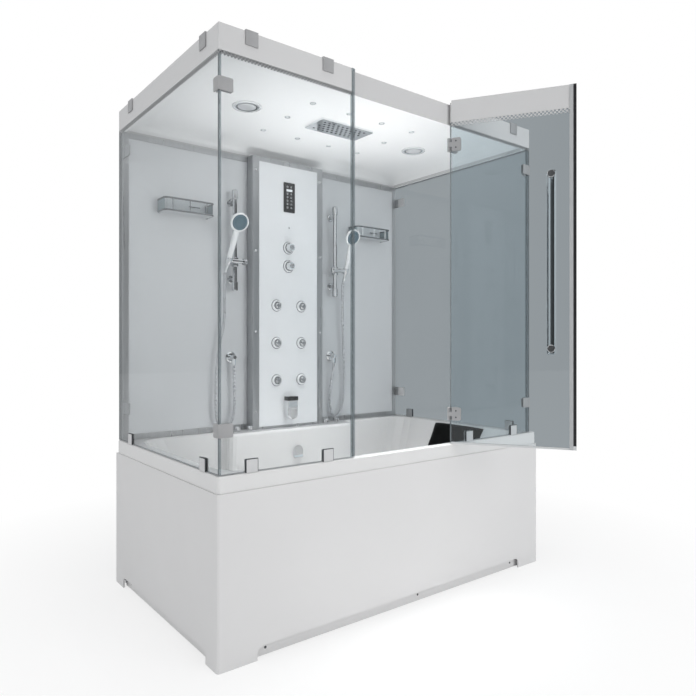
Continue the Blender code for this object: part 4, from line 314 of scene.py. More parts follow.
def glass_look(name, tint, edge, along, band=None):
    """A clear pane: tinted see-through faces, a darker cut edge and, at the top, a printed band."""
    material, tree, shader = new_material(name)
    coords = add_node(tree, "TexCoord").outputs
    vector = object_coords(tree)
    haze = spread(tree, noise(tree, vector, 1.5), 0, 1)
    hazed = two_tone(tree, haze, [part * HAZE_SHARE for part in tint], tint)
    clear = add_node(tree, "BsdfTransparent", {"Color": hazed})
    smear = spread(tree, noise(tree, vector, 6.0, 5.0), *SMEAR_ROUGHNESS)
    feed(tree, shader, {"Base Color": (*edge, 1), "Alpha": EDGE_COVER, "IOR": GLASS_IOR,
                        "Roughness": smear})
    front = math(tree, "SUBTRACT", 1.0, add_node(tree, "NewGeometry").outputs["Backfacing"])
    fresnel = add_node(tree, "Fresnel", {"IOR": GLASS_IOR}).outputs[0]
    mirror = add_node(tree, "BsdfGlossy", {"Roughness": smear})
    body = mix_shaders(tree, math(tree, "MULTIPLY", fresnel, front), clear.outputs[0], mirror.outputs[0])
    across = dot(tree, coords["Normal"], (-along[1], along[0], 0))
    flat = math(tree, "GREATER_THAN", math(tree, "ABSOLUTE", across), 0.5)
    pane = mix_shaders(tree, flat, shader.outputs[0], body)
    cover_material(tree, printed(tree, pane, coords["Object"], along, *band) if band else pane)
    return material


def printed(tree, pane, coords, along, level, fade, colour, dot_colour, pitch):
    """A printed band on a pane, solid above a level and dotted just under it."""
    height = add_node(tree, "SeparateXYZ", {0: coords}).outputs["Z"]
    waves = [math(tree, "SINE", math(tree, "MULTIPLY", run, tau / pitch))
             for run in (dot(tree, coords, (*along, 0)), height)]
    floor = spread(tree, height, DOT_FLOOR, 0.0, level - fade, level)
    dots = math(tree, "GREATER_THAN", math(tree, "MULTIPLY", *waves), floor)
    dotted = math(tree, "MULTIPLY", math(tree, "GREATER_THAN", height, level - fade), dots)
    solid = math(tree, "GREATER_THAN", height, level)
    ink = add_node(tree, "BsdfPrincipled", {"Base Color": two_tone(tree, solid, dot_colour, colour),
                                            "Roughness": INK_ROUGHNESS})
    return mix_shaders(tree, math(tree, "MAXIMUM", solid, dotted), pane, ink.outputs[0])


# Downward normals that get the painted light of the roof's underside
LIT_UNDERSIDE_NORMALS = (-0.6, -0.2)
SEAL_BOTTOM_COLOUR = (0.55, 0.56, 0.565)
SEAL_BOTTOM_LEVEL = 0.648
PLASTIC_TINT = (0.80, 0.83, 0.84)
COVER_SWING = 0.04
HAZE_SHARE = 0.985
SMEAR_ROUGHNESS = (0.01, 0.05)
EDGE_COVER = 0.85
GLASS_IOR = 1.5
INK_ROUGHNESS = 0.22
DOT_FLOOR = 0.15

# Printed bands: lower edge of the solid print, height of the dots, two colours and dot pitch
BAND_LEVEL = 2.007
BAND_COLOUR = (0.58, 0.578, 0.58)
FRIT_BAND = (BAND_LEVEL, 0.014, BAND_COLOUR, (0.30, 0.305, 0.31), 0.0125)
DOOR_BAND = (BAND_LEVEL, 0.018, BAND_COLOUR, (0.56, 0.558, 0.56), 0.0155)
CLEAR_TINT = (0.982, 0.990, 0.992)
# A darker copy of the clear tint for the door and right-hand panes: painted shade for the grey seen through them
SHADED_PANE_TINT = (0.925, 0.95, 0.96)
GLASS_EDGE = (0.155, 0.175, 0.185)
GUARD_EDGE = (0.30, 0.36, 0.38)
DOOR_TURN = radians(-58.0)
DOOR_ALONG = (cos(DOOR_TURN), sin(DOOR_TURN))

LOOKS = {
    "acrylic": surface("acrylic", (0.69, 0.688, 0.686), 0.16, tone=0.01, coat=0.3, bump=0.04,
                       bump_scale=60, bump_depth=0.0006),
    "apron": surface("apron", (0.665, 0.66, 0.66), 0.34, tone=0.012, bump=0.08, bump_scale=300,
                     bump_depth=0.0003),
    # The roof's lighter underside colour is painted light
    "roof": roof_with_painted_light((0.54, 0.537, 0.54), (0.90, 0.90, 0.90)),
    "wall_panel": surface("wall_panel", (0.60, 0.615, 0.63), 0.18, tone=0.02, tone_scale=1.2, bump=0.01,
                          bump_scale=40, coat=0.2),
    "column_panel": surface("column_panel", (0.76, 0.775, 0.79), 0.12, bump=0.01, bump_scale=50,
                            coat=0.3),
    "aluminium": surface("aluminium", (0.46, 0.47, 0.48), 0.32, 0.9, tone=0.05, tone_scale=60,
                         swing=0.06, swing_scale=90, bump=0.25, bump_scale=500, bump_depth=0.0001,
                         stretch=(1, 1, 0.02)),
    "chrome": surface("chrome", (0.84, 0.85, 0.86), 0.06, 1.0, tone=0.02, tone_scale=20, swing=0.02,
                      swing_scale=35, bump=0.01, bump_scale=200),
    "steel": surface("steel", (0.45, 0.46, 0.48), 0.45, 0.8, tone=0.15, tone_scale=25, swing=0.12,
                     swing_scale=40, bump=0.2, bump_scale=120),
    "plastic": surface("plastic", (0.60, 0.60, 0.60), 0.5, tone=0.03, bump=0.1),
    "black": surface("black", (0.012, 0.012, 0.013), 0.18, tone=0.2, coat=0.3),
    "foam": surface("foam", (0.003, 0.0032, 0.0032), 0.5, tone=0.3, swing=0.08, bump=0.3,
                    bump_scale=900, bump_depth=0.0003, specular=0.10),
    "seal": clear_plastic("seal", (0.30, 0.32, 0.33), 0.20),
    "hose": surface("hose", (0.62, 0.63, 0.65), 0.28, 0.85, tone=0.06, tone_scale=120, swing=0.08,
                    swing_scale=200, bump=0.05),
    "rubber": surface("rubber", (0.05, 0.055, 0.06), 0.6, tone=0.1, bump=0.1),
    "white_key": surface("white_key", (0.85, 0.88, 0.90), 0.4, tone=0.02),
    "lens": surface("lens", (0.85, 0.87, 0.88), 0.12, tone=0.05, tone_scale=200, bump=0.05, coat=0.5),
    "blue_face": surface("blue_face", (0.085, 0.135, 0.165), 0.16, tone=0.06, tone_scale=60, bump=0.03,
                         coat=0.6),
    "clip": surface("clip", (0.37, 0.37, 0.375), 0.38, 0.25, tone=0.02, tone_scale=40, swing_scale=80,
                    bump_scale=300),
    "pale_plate": surface("pale_plate", (0.60, 0.60, 0.605), 0.34, 0.15, tone=0.02, tone_scale=40,
                          swing_scale=80, bump_scale=300),
    "rail_chrome": surface("rail_chrome", (0.62, 0.63, 0.64), 0.06, 1.0, tone=0.02, tone_scale=20,
                           swing=0.02, swing_scale=35, bump=0.01, bump_scale=200),
    # Chrome darkened with painted shade, for the collar rings and the shelf rails
    "shade_painted_chrome": surface("shade_painted_chrome", (0.26, 0.27, 0.28), 0.12, 1.0, tone=0.05, tone_scale=60,
                           swing=0.03),
    "door_seal": door_seal_look(),
    "screw": surface("screw", (0.10, 0.105, 0.11), 0.35, 0.7, tone=0.2, tone_scale=200, bump=0.1),
    "pale_metal": surface("pale_metal", (0.80, 0.81, 0.82), 0.25, 0.5, tone=0.05, tone_scale=200,
                          bump=0.05),
    "pale_chrome": surface("pale_chrome", (0.90, 0.91, 0.92), 0.10, 0.35, tone=0.03, tone_scale=30,
                           coat=0.6),
    "satin": surface("satin", (0.50, 0.515, 0.53), 0.26, 0.8, tone=0.05, tone_scale=120, bump=0.05),
    "grey_face": surface("grey_face", (0.33, 0.345, 0.36), 0.3, 0.4, tone=0.08, tone_scale=200,
                         bump=0.08),
    "pale_pin": surface("pale_pin", (0.50, 0.58, 0.63), 0.4, tone=0.05, tone_scale=200, bump=0.05),
    "pale_seal": surface("pale_seal", (0.42, 0.43, 0.435), 0.35, tone=0.03, tone_scale=20, bump=0.05),
    "glass_along_y": glass_look("glass_along_y", CLEAR_TINT, GLASS_EDGE, (0, 1), FRIT_BAND),
    "glass_along_x": glass_look("glass_along_x", CLEAR_TINT, GLASS_EDGE, (1, 0), FRIT_BAND),
    # The door and right-hand panes use the darker tint, which is painted shade
    "glass_painted_shade": glass_look("glass_painted_shade", SHADED_PANE_TINT, GLASS_EDGE, (0, 1), FRIT_BAND),
    "glass_painted_shade_x": glass_look("glass_painted_shade_x", SHADED_PANE_TINT, GLASS_EDGE, (1, 0), FRIT_BAND),
    "glass_door": glass_look("glass_door", SHADED_PANE_TINT, GLASS_EDGE, DOOR_ALONG, DOOR_BAND),
    "glass_shelf": glass_look("glass_shelf", (0.965, 0.98, 0.985), GUARD_EDGE, (1, 0)),
}

NODE_LOOKS = {
    "glass_left": "glass_along_y", "glass_front_left": "glass_along_x",
    "glass_front_right": "glass_painted_shade_x", "glass_right": "glass_painted_shade", "door_glass": "glass_door",
    "door_seal": "door_seal", "hinge_lower_door": "clip", "hinge_upper_door": "clip",
    "hinge_lower_fixed": "clip", "hinge_upper_fixed": "clip",
    "rail_left": "rail_chrome", "rail_right": "rail_chrome", "slider_left": "rail_chrome",
    "slider_right": "rail_chrome", "door_handle": "rail_chrome",
    **{f"deck_knob_{number}": "rail_chrome" for number in range(1, 5)},
}


def dress_frame():
    """Every node gets the finish of its slot, or the one named for it above."""
    slots = {part["node"]: part["material_slot"] for part in frame["record"]["subparts"]}
    for name, node in NODES.items():
        node.data.materials.clear()
        node.data.materials.append(LOOKS[NODE_LOOKS.get(name, slots[name])])


# Mesh helpers


def finished(work, name="piece"):
    """The mesh of a finished bmesh."""
    mesh = bpy.data.meshes.new(name)
    work.to_mesh(mesh)
    work.free()
    return mesh


def loft(rings, closed=False):
    """A mesh through rings of equally many points, closed on itself or with a face at each end."""
    work = bmesh.new()
    loops = [[work.verts.new(point) for point in ring] for ring in rings]
    count = len(loops[0])
    pairs = list(zip(loops, loops[1:]))
    if closed:
        pairs.append((loops[-1], loops[0]))
    for lower, upper in pairs:
        for i in range(count):
            j = (i + 1) % count
            work.faces.new((lower[i], lower[j], upper[j], upper[i]))
    if not closed:
        work.faces.new(list(reversed(loops[0])))
        work.faces.new(loops[-1])
    bmesh.ops.recalc_face_normals(work, faces=work.faces)
    return finished(work)


def merge(meshes):
    """Several meshes as one."""
    work = bmesh.new()
    for mesh in meshes:
        work.from_mesh(mesh)
    return finished(work)


def arc(x, y, radius, start, end, steps=CORNER_STEPS):
    """Points on an arc; angles are in degrees."""
    return [(x + radius * cos(radians(start + (end - start) * i / steps)),
             y + radius * sin(radians(start + (end - start) * i / steps))) for i in range(steps + 1)]


def rounded(x_low, x_high, y_low, y_high, radius, steps=CORNER_STEPS):
    return (arc(x_low + radius, y_low + radius, radius, 180, 270, steps)
            + arc(x_high - radius, y_low + radius, radius, 270, 360, steps)
            + arc(x_high - radius, y_high - radius, radius, 0, 90, steps)
            + arc(x_low + radius, y_high - radius, radius, 90, 180, steps))


def facing(origin, direction):
    turn = Vector((0, 0, 1)).rotation_difference(Vector(direction))
    return Matrix.Translation(Vector(origin)) @ turn.to_matrix().to_4x4()


def turned(profile, origin, direction=(0, 0, 1), steps=ROUND_STEPS, closed=False):
    """A profile of (radius, distance along the axis) pairs, turned about an axis."""
    place = facing(origin, direction)
    angles = [tau * i / steps for i in range(steps)]
    return loft([[place @ Vector((radius * cos(angle), radius * sin(angle), along)) for angle in angles]
                 for radius, along in profile], closed)


def scaled(shape, radius):
    """A profile from (share of a radius, distance along the axis) pairs."""
    return [(radius * share, along) for share, along in shape]


def flat_ring(inner, outer, low, high, origin, direction, steps=ROUND_STEPS):
    """A ring of square section."""
    return turned(((outer, low), (outer, high), (inner, high), (inner, low)), origin, direction, steps,
                  closed=True)


def rod(start, end, radius):
    direction = Vector(end) - Vector(start)
    return turned(((radius, 0), (radius, direction.length)), start, direction, FINE_STEPS)


def sweep(points, radii, steps=FINE_STEPS):
    """A round bar through points, with one radius or one for each point."""
    route = [Vector(point) for point in points]
    if isinstance(radii, float):
        radii = [radii] * len(route)
    side = (route[1] - route[0]).orthogonal().normalized()
    rings = []
    for i, point in enumerate(route):
        tangent = (route[min(i + 1, len(route) - 1)] - route[max(i - 1, 0)]).normalized()
        side = (side - tangent * side.dot(tangent)).normalized()
        other = tangent.cross(side)
        rings.append([point + radii[i] * (cos(tau * k / steps) * side + sin(tau * k / steps) * other)
                      for k in range(steps)])
    return loft(rings)


CURVE_STEPS = 20


def smooth(points, spacing):
    """Points about one spacing apart on a smooth curve through the given points."""
    route = [Vector(point) for point in points]
    ends = [2 * route[0] - route[1]] + route + [2 * route[-1] - route[-2]]
    dense = []
    for a, b, c, d in zip(ends, ends[1:], ends[2:], ends[3:]):
        for i in range(CURVE_STEPS):
            t = i / CURVE_STEPS
            dense.append(0.5 * (2 * b + (c - a) * t + (2 * a - 5 * b + 4 * c - d) * t ** 2
                                + (3 * b - a - 3 * c + d) * t ** 3))
    dense.append(route[-1])
    return evenly(dense, spacing)


def evenly(dense, spacing):
    """Points one spacing apart along a polyline."""
    lengths = [0]
    for a, b in zip(dense, dense[1:]):
        lengths.append(lengths[-1] + (b - a).length)
    count = max(2, round(lengths[-1] / spacing))
    result = []
    index = 0
    for k in range(count + 1):
        target = lengths[-1] * k / count
        while index < len(dense) - 2 and lengths[index + 1] < target:
            index += 1
        run = lengths[index + 1] - lengths[index]
        result.append(dense[index].lerp(dense[index + 1], (target - lengths[index]) / run))
    return result


def path_length(points):
    return sum((b - a).length for a, b in zip(points, points[1:]))


def add_piece(name, mesh, look, body, replaced=()):
    """A piece with its finish, riding on a body."""
    mesh.name = name
    mesh.materials.clear()
    mesh.materials.append(LOOKS[look])
    mesh.shade_smooth()
    mesh.set_sharp_from_angle(angle=radians(SHARP_ANGLE))
    piece = bpy.data.objects.new(name, mesh)
    bpy.context.scene.collection.objects.link(piece)
    if body:
        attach(piece, body)
    if replaced:
        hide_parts(*replaced)
    return piece


# Places read from the frame

LEFT_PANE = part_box("glass_left")
RIGHT_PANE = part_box("glass_right")
FRONT_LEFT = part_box("glass_front_left")
PANE_FRONT = FRONT_LEFT[0].y
PANE_THICK = FRONT_LEFT[1].y - FRONT_LEFT[0].y
COLUMN_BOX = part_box("column_housing")
COLUMN_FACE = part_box("column_panel")[0].y
HINGE = Vector(JOINTS["door_hinge"]["pos_m"])
CEILING_RISE = 0.050
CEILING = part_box("roof_tray")[0].z + CEILING_RISE
SIDES = {"left": -1, "right": 1}
FORWARD = Vector((0, -1, 0))
DOWNWARD = Vector((0, 0, -1))

# Small gaps: a skin lifts a face off the one under it, and a clearance lies between pieces
SKIN = 0.0002
CLEARANCE = 0.0003


def corner_x(sign):
    """Where the outer face of a side pane is."""
    return LEFT_PANE[0].x if sign < 0 else RIGHT_PANE[1].x


def outward(sign):
    """Places on a side pane: distance from the front, distance out of the cabin, and level."""
    return lambda along, out, level: Vector((corner_x(sign) + sign * out, PANE_FRONT + along, level))


def forward(sign):
    """Places on a front pane: distance from its outer corner, distance out, and level."""
    return lambda along, out, level: Vector((corner_x(sign) - sign * along, PANE_FRONT - out, level))


def door_place(along, out, level):
    """Places in the door's own frame, in its rest position."""
    turn = Matrix.Rotation(DOOR_TURN, 3, "Z")
    return turn @ Vector((along, out, 0)) + Vector((HINGE.x, HINGE.y, level))


def door_width():
    """Distance from the hinge axis to the free edge of the door seal."""
    turn = Matrix.Rotation(-DOOR_TURN, 3, "Z")
    mesh = NODES["door_seal"].data
    return max((turn @ (vert.co - Vector((HINGE.x, HINGE.y, 0)))).x for vert in mesh.vertices)


# Plates, strips and screw heads

EDGE_SHARE = 0.3
SOFTEN_ANGLE = 40.0
PIN_STEPS = 8


def face_plate(place, along, level, out, radius, edge, steps=CORNER_STEPS):
    """A plate with round corners that stands on a face, with a softened outer edge."""
    base, top = out
    soft = edge * EDGE_SHARE
    rings = []
    for inset, depth in ((0, base), (0, top - edge), (soft, top - soft), (edge, top)):
        outline = rounded(along[0] + inset, along[1] - inset, level[0] + inset, level[1] - inset,
                          max(radius - inset, edge), steps)
        rings.append([place(a, depth, b) for a, b in outline])
    return loft(rings)


def run_along(place, centre, width, outline):
    """One outline of (out, level) pairs, run along a pane."""
    return loft([[place(centre + shift, out, level) for out, level in outline]
                 for shift in (-width / 2, width / 2)])


def soften(mesh, width):
    """Round the sharp edges of a mesh."""
    work = bmesh.new()
    work.from_mesh(mesh)
    sharp = [edge for edge in work.edges if edge.calc_face_angle(0) > radians(SOFTEN_ANGLE)]
    bmesh.ops.bevel(work, geom=sharp, offset=width, segments=2, profile=0.5, affect="EDGES",
                    clamp_overlap=True)
    return finished(work)


def dome_screw(origin, direction, radius, height):
    """A domed screw head."""
    profile = ((radius, 0), (radius, height * 0.4), (radius * 0.8, height * 0.85), (radius * 0.5, height))
    return turned(profile, origin, direction, FINE_STEPS)


def pin_rings(rings, shape, place, direction):
    """Small nozzles on rings of (count, radius, turn in shares of a step) over a face."""
    pins = []
    for count, radius, turn in rings:
        for i in range(count):
            angle = tau * (i + turn) / count
            spot = place(radius * cos(angle), radius * sin(angle))
            pins.append(turned(shape, spot, direction, PIN_STEPS))
    return merge(pins)


# Hoses of the hand showers

HOSE_RADIUS = 0.007
HOSE_RIB_DEPTH = 0.0007
HOSE_RIB_PITCH = 0.0032
HOSE_END_SHARE = 0.98
HOSE_STEPS = 16
CORD_STRIDE = 4
RAIL_X = 0.306
ELBOW_Y = 0.4283
HAND_BASE_LENGTH = 0.060
HANDLE_LEAN = (0.0155, -0.080, 0.174)
HOSE_ROUTES = {
    "left": ((-0.3600, 0.4180, 1.380), (-0.3600, 0.4230, 1.272), (-0.3600, 0.4260, 1.175),
             (-0.3850, 0.4280, 1.040), (-0.3980, 0.4300, 0.930), (-0.4010, 0.4300, 0.837),
             (-0.4010, 0.4300, 0.740), (-0.3900, 0.4300, 0.678), (-0.3560, 0.4300, 0.6475),
             (-0.3200, 0.4300, 0.676), (-0.3030, 0.4300, 0.740), (-0.3030, 0.4295, 0.830),
             (-0.3050, 0.4285, 0.900)),
    "right": ((0.3600, 0.4180, 1.380), (0.3650, 0.4250, 1.250), (0.3700, 0.4300, 1.130),
              (0.3780, 0.4330, 1.000), (0.3850, 0.4360, 0.870), (0.3820, 0.4400, 0.760),
              (0.3600, 0.4400, 0.688), (0.3260, 0.4400, 0.6560), (0.2970, 0.4400, 0.682),
              (0.2860, 0.4390, 0.750), (0.2920, 0.4340, 0.850), (0.3020, 0.4290, 0.910)),
}


def holder_place(side):
    return Vector(JOINTS[f"handset_{side}_tilt"]["pos_m"])


def handle_direction(side):
    across, forth, rise = HANDLE_LEAN
    return Vector((-SIDES[side] * across, forth, rise)).normalized()


def make_hose(side):
    """A ribbed hose from the sleeve of the hand shower, round its loop and up into the wall elbow."""
    up = handle_direction(side)
    start = holder_place(side) - up * (HAND_BASE_LENGTH + CLEARANCE)
    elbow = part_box(f"elbow_{side}")[0]
    end = Vector((SIDES[side] * RAIL_X, ELBOW_Y, elbow.z - CLEARANCE))
    lead = 2 * HOSE_RADIUS
    route = [start - up * lead, *HOSE_ROUTES[side], end - Vector((0, 0, lead))]
    path = evenly([start] + smooth(route, HOSE_RIB_PITCH / 2) + [end], HOSE_RIB_PITCH / 2)
    radii = [HOSE_RADIUS - HOSE_RIB_DEPTH * (i % 2) for i in range(len(path))]
    ends = round(2 * lead / HOSE_RIB_PITCH)
    for i in (*range(ends), *range(len(path) - ends, len(path))):
        radii[i] = HOSE_RADIUS * HOSE_END_SHARE
    hose = add_piece(f"ribbed_hose_{side}", sweep(path, radii, HOSE_STEPS), "hose", None,
                     (f"hose_{side}",))
    coarse = path[::CORD_STRIDE] + ([path[-1]] if (len(path) - 1) % CORD_STRIDE else [])
    path_length(coarse)
    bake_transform(hose)


# Hand showers

GRIP_RADIUS = 0.012
BASE_RADIUS = 0.010
BASE_TIP = 0.0085
HOLDER_RADIUS = 0.017
HOLDER_HALF = 0.017
BOSS_RADIUS = 0.0100
BOSS_START = 0.008
BOSS_REACH = 0.0195
BOSS_EDGE = 0.001
HEAD_RADIUS = 0.046
HEAD_THICK = 0.010
HEAD_DOME = 0.016
HEAD_FACE_RADIUS = 0.0376
HEAD_NECK_SHARE = 0.55
FACE_GAP = 0.0004
FACE_LIP = 0.0012
FACE_EDGE = 0.0030

# Rings of the grip: share of its length, half width, half depth and shift towards the face
GRIP_RINGS = ((-0.088, 0.0115, 0.0115, 0), (0.10, 0.0120, 0.0120, 0), (0.35, 0.0130, 0.0125, 0),
              (0.55, 0.0138, 0.0125, -0.0005), (0.75, 0.0135, 0.0112, -0.0012),
              (0.90, 0.0150, 0.0098, -0.0020), (1.0, 0.0200, 0.0085, -0.0030),
              (1.10, 0.0260, 0.0070, -0.0036))
HEAD_BACK_SHARES = ((0.35, 0.97), (0.62, 0.80), (0.84, 0.50), (0.96, 0.18))
HEAD_RIM_SHARES = ((0.998, 0.55), (0.965, 0.95), (0.93, 1.06))
HEAD_BACK_CENTRE = 0.0020
HEAD_SEAM = 0.0015
FACE_GROOVE = ((0.0270, 1.00), (0.0262, 0.90), (0.0240, 0.90), (0.0232, 1.00), (0.0120, 1.06),
               (0.0020, 1.06))
HEAD_PIN_RINGS = ((8, 0.0085, 0), (14, 0.0150, 0.5), (18, 0.0205, 0), (30, 0.0312, 0))
HEAD_PIN = ((0.0010, 0), (0.0009, 0.0012), (0.0005, 0.0016))
HEAD_PIN_SHARE = 0.96
SLEEVE_STEPS = 40
SLEEVE_RIB = 0.0005
SLEEVE_RIB_SHARE = 0.55
SLEEVE_OVERLAP = 0.006


def make_handset(side):
    """Grip that swells into a round head, spray face with nozzles, holder cup and hose sleeve."""
    body = f"handset_{side}"
    centre = holder_place(side)
    up = handle_direction(side)
    reach = Vector(HANDLE_LEAN).length
    normal = (FORWARD - up * FORWARD.dot(up)).normalized()
    across = up.cross(normal)
    head = centre + up * reach
    neck = reach - HEAD_RADIUS * HEAD_NECK_SHARE
    angles = [tau * k / ROUND_STEPS for k in range(ROUND_STEPS)]
    rings = []
    for share, wide, deep, shift in GRIP_RINGS:
        spot = centre + up * (neck * share) + normal * shift
        rings.append([spot + across * (wide * cos(a)) + normal * (deep * sin(a)) for a in angles])
    radius = HEAD_RADIUS
    shell = ([(HEAD_BACK_CENTRE, -HEAD_DOME)]
             + [(radius * a, -HEAD_DOME * b) for a, b in HEAD_BACK_SHARES]
             + [(radius, HEAD_SEAM)] + [(radius * a, HEAD_THICK * b) for a, b in HEAD_RIM_SHARES]
             + [(HEAD_FACE_RADIUS + FACE_LIP, HEAD_THICK * 1.02), (HEAD_FACE_RADIUS, HEAD_THICK * 0.86),
                (HEAD_FACE_RADIUS, HEAD_THICK * 0.60)])
    grip = merge([loft(rings), turned(shell, head, normal)])
    add_piece(f"handset_body_{side}", grip, "pale_chrome", body, (f"handset_{side}",))
    edge = HEAD_FACE_RADIUS - FACE_GAP
    face = ([(edge, HEAD_THICK * 0.62), (edge, HEAD_THICK * 0.84),
             (HEAD_FACE_RADIUS - FACE_EDGE, HEAD_THICK * 0.98)]
            + [(run, HEAD_THICK * share) for run, share in FACE_GROOVE])
    add_piece(f"handset_face_{side}", turned(face, head, normal), "blue_face", body)
    pin_foot = head + normal * (HEAD_THICK * HEAD_PIN_SHARE)
    pins = pin_rings(HEAD_PIN_RINGS, HEAD_PIN, lambda a, b: pin_foot + across * a + up * b, normal)
    add_piece(f"handset_pins_{side}", pins, "pale_pin", body)
    make_holder(side, body, centre, up)
    make_sleeve(side, centre, up)


def make_holder(side, body, centre, up):
    """The conical cup that holds the grip, with the boss that joins it to the slider."""
    half, radius, bore = HOLDER_HALF, HOLDER_RADIUS, GRIP_RADIUS * 0.98
    cup = turned(((radius * 0.80, -half), (radius * 0.90, -half + 0.0015), (radius * 0.98, -half * 0.3),
                  (radius, half - 0.004), (radius * 0.97, half - 0.0015), (radius * 0.90, half),
                  (bore, half), (bore, half - 0.004), (BASE_RADIUS, -half + SLEEVE_OVERLAP),
                  (BASE_RADIUS, -half)), centre, up, closed=True)
    boss = turned(((BOSS_RADIUS, BOSS_START), (BOSS_RADIUS, BOSS_REACH - BOSS_EDGE),
                   (BOSS_RADIUS - BOSS_EDGE, BOSS_REACH)), centre, (-SIDES[side], 0, 0), FINE_STEPS)
    add_piece(f"handset_holder_{side}", merge([cup, boss]), "chrome", body)


def make_sleeve(side, centre, up):
    """The tapered sleeve between hose and grip, with fine rings."""
    top = SLEEVE_OVERLAP - HOLDER_HALF
    rings = []
    for i in range(SLEEVE_STEPS + 1):
        share = i / SLEEVE_STEPS
        rib = SLEEVE_RIB if i % 4 in (1, 2) and share < SLEEVE_RIB_SHARE else 0
        rings.append((BASE_TIP + (BASE_RADIUS - BASE_TIP) * share - rib,
                      -HAND_BASE_LENGTH + (top + HAND_BASE_LENGTH) * share))
    mesh = turned(rings, centre, up, FINE_STEPS)
    sleeve = add_piece(f"hose_sleeve_{side}", mesh, "chrome", None)
    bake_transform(sleeve)


SLIDER_CAP = ((0.0128, -0.0002), (0.0150, 0.0008), (0.0135, 0.0034), (0.0090, 0.0054), (0.0030, 0.0062))
SLIDER_RING = ((0.0158, -0.0004), (0.0164, 0), (0.0158, 0.0004), (0.0150, 0))
SLIDER_RING_OFFSETS = (0.0045, 0.0080, 0.0115)


def make_slider_details():
    """A domed end cap and three raised rings on the knob of each slider."""
    for side, sign in SIDES.items():
        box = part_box(f"slider_{side}")
        centre = holder_place(side)
        start = Vector((box[0].x if sign > 0 else box[1].x, centre.y, centre.z))
        parts = [turned(SLIDER_CAP, start, (-sign, 0, 0))]
        parts += [turned(SLIDER_RING, start + Vector((sign * offset, 0, 0)), (sign, 0, 0), closed=True)
                  for offset in SLIDER_RING_OFFSETS]
        add_piece(f"slider_cap_{side}", merge(parts), "chrome", f"slider_{side}")


# Glass clips and clamps

CLIP_WIDTH = 0.045
CLIP_HEIGHT = 0.045
CLIP_PLATE = 0.003
CLIP_COVER = 0.0012
CLIP_EDGE = 0.0008
CLIP_ANCHOR = 0.0140
CLIP_INSETS = {-1: (0.120, 0.119), 1: (0.124, 0.128)}
SIDE_CLIP_INSETS = (0.116, 0.154)
GASKET_SHOW = 0.0026
GASKET_LEVELS = (-0.0032, CLIP_HEIGHT + CLIP_COVER - 0.0037)
GASKET_EDGE = 0.0004
COVER_CORNER = 0.0015
COVER_EDGE = 0.0005
CLAMP_REACH = 0.051
CLAMP_SIDE_REACH = 0.034
CLAMP_HEIGHT = 0.046
CLAMP_LEVELS = (0.776, 1.899)
CLAMP_THICK = 0.0026
CLAMP_CORNER = 0.006
CLAMP_EDGE = 0.0006
CORNER_STRIP = 0.012
CORNER_STRIP_THICK = 0.0012
BRACKET_IN = 0.0052
BRACKET_LEVELS = (0.776, 1.903)
BRACKET_SPAN = (0.0006, 0.050)
BRACKET_HALF = 0.0245
BRACKET_THICK = 0.0012
BRACKET_CORNER = 0.007
BRACKET_EDGE = 0.0004


def clip_places(sign):
    """Where the clips sit: two along the front pane and two along the side pane."""
    insets = CLIP_INSETS[sign]
    width = FRONT_LEFT[1].x - FRONT_LEFT[0].x if sign < 0 else RIGHT_PANE[1].x - HINGE.x
    length = RIGHT_PANE[1].y - PANE_FRONT
    return ([(forward(sign), along) for along in (insets[0], width - insets[1])]
            + [(outward(sign), along) for along in (SIDE_CLIP_INSETS[0], length - SIDE_CLIP_INSETS[1])])


def make_clips():
    """Grey metal covers over the upper clips, and cover plates with a dark gasket on the lower ones."""
    top = LEFT_PANE[1].z
    over = top + CLEARANCE
    out = CLEARANCE + CLIP_PLATE + CLIP_COVER
    high = over + CLIP_PLATE + CLIP_COVER
    low = top - CLIP_HEIGHT - CLIP_COVER
    half = CLIP_WIDTH / 2 + CLIP_COVER
    upper = [(SKIN, low), (out, low), (out, high), (-CLIP_ANCHOR, high), (-CLIP_ANCHOR, over),
             (SKIN, over)]
    levels = [LEFT_PANE[0].z + rise for rise in GASKET_LEVELS]
    shown = (levels[0], levels[1] - GASKET_SHOW)
    covers, plates, gaskets = [], [], []
    for sign in SIDES.values():
        for place, along in clip_places(sign):
            covers.append(soften(run_along(place, along, 2 * half, upper), CLIP_EDGE))
            gaskets.append(face_plate(place, (along - half, along + half), levels,
                                      (SKIN, out - CLIP_COVER + SKIN), COVER_CORNER, GASKET_EDGE))
            inner = (along - half + GASKET_SHOW, along + half - GASKET_SHOW)
            plates.append(face_plate(place, inner, shown, (out - CLIP_COVER, out), COVER_CORNER,
                                     COVER_EDGE))
    add_piece("upper_clip_covers", merge(covers), "clip", "cabin")
    add_piece("lower_clip_gaskets", merge(gaskets), "rubber", "cabin")
    add_piece("lower_clip_plates", merge(plates), "pale_plate", "cabin")


def make_clamps():
    """Corner clamps that join a front pane to a side pane, outside and inside."""
    outer = (CLEARANCE, CLEARANCE + CLAMP_THICK)
    inner = (-PANE_THICK - CLEARANCE - CLAMP_THICK, -PANE_THICK - CLEARANCE)
    metal = []
    for sign in SIDES.values():
        for level in CLAMP_LEVELS:
            levels = (level - CLAMP_HEIGHT / 2, level + CLAMP_HEIGHT / 2)
            for start, depths in ((-CLAMP_THICK, outer), (PANE_THICK + CLAMP_THICK, inner)):
                for place, reach in ((forward(sign), CLAMP_REACH), (outward(sign), CLAMP_SIDE_REACH)):
                    metal.append(face_plate(place, (start, reach), levels, depths, CLAMP_CORNER,
                                            CLAMP_EDGE))
    add_piece("corner_clamps", merge(metal), "clip", "cabin")


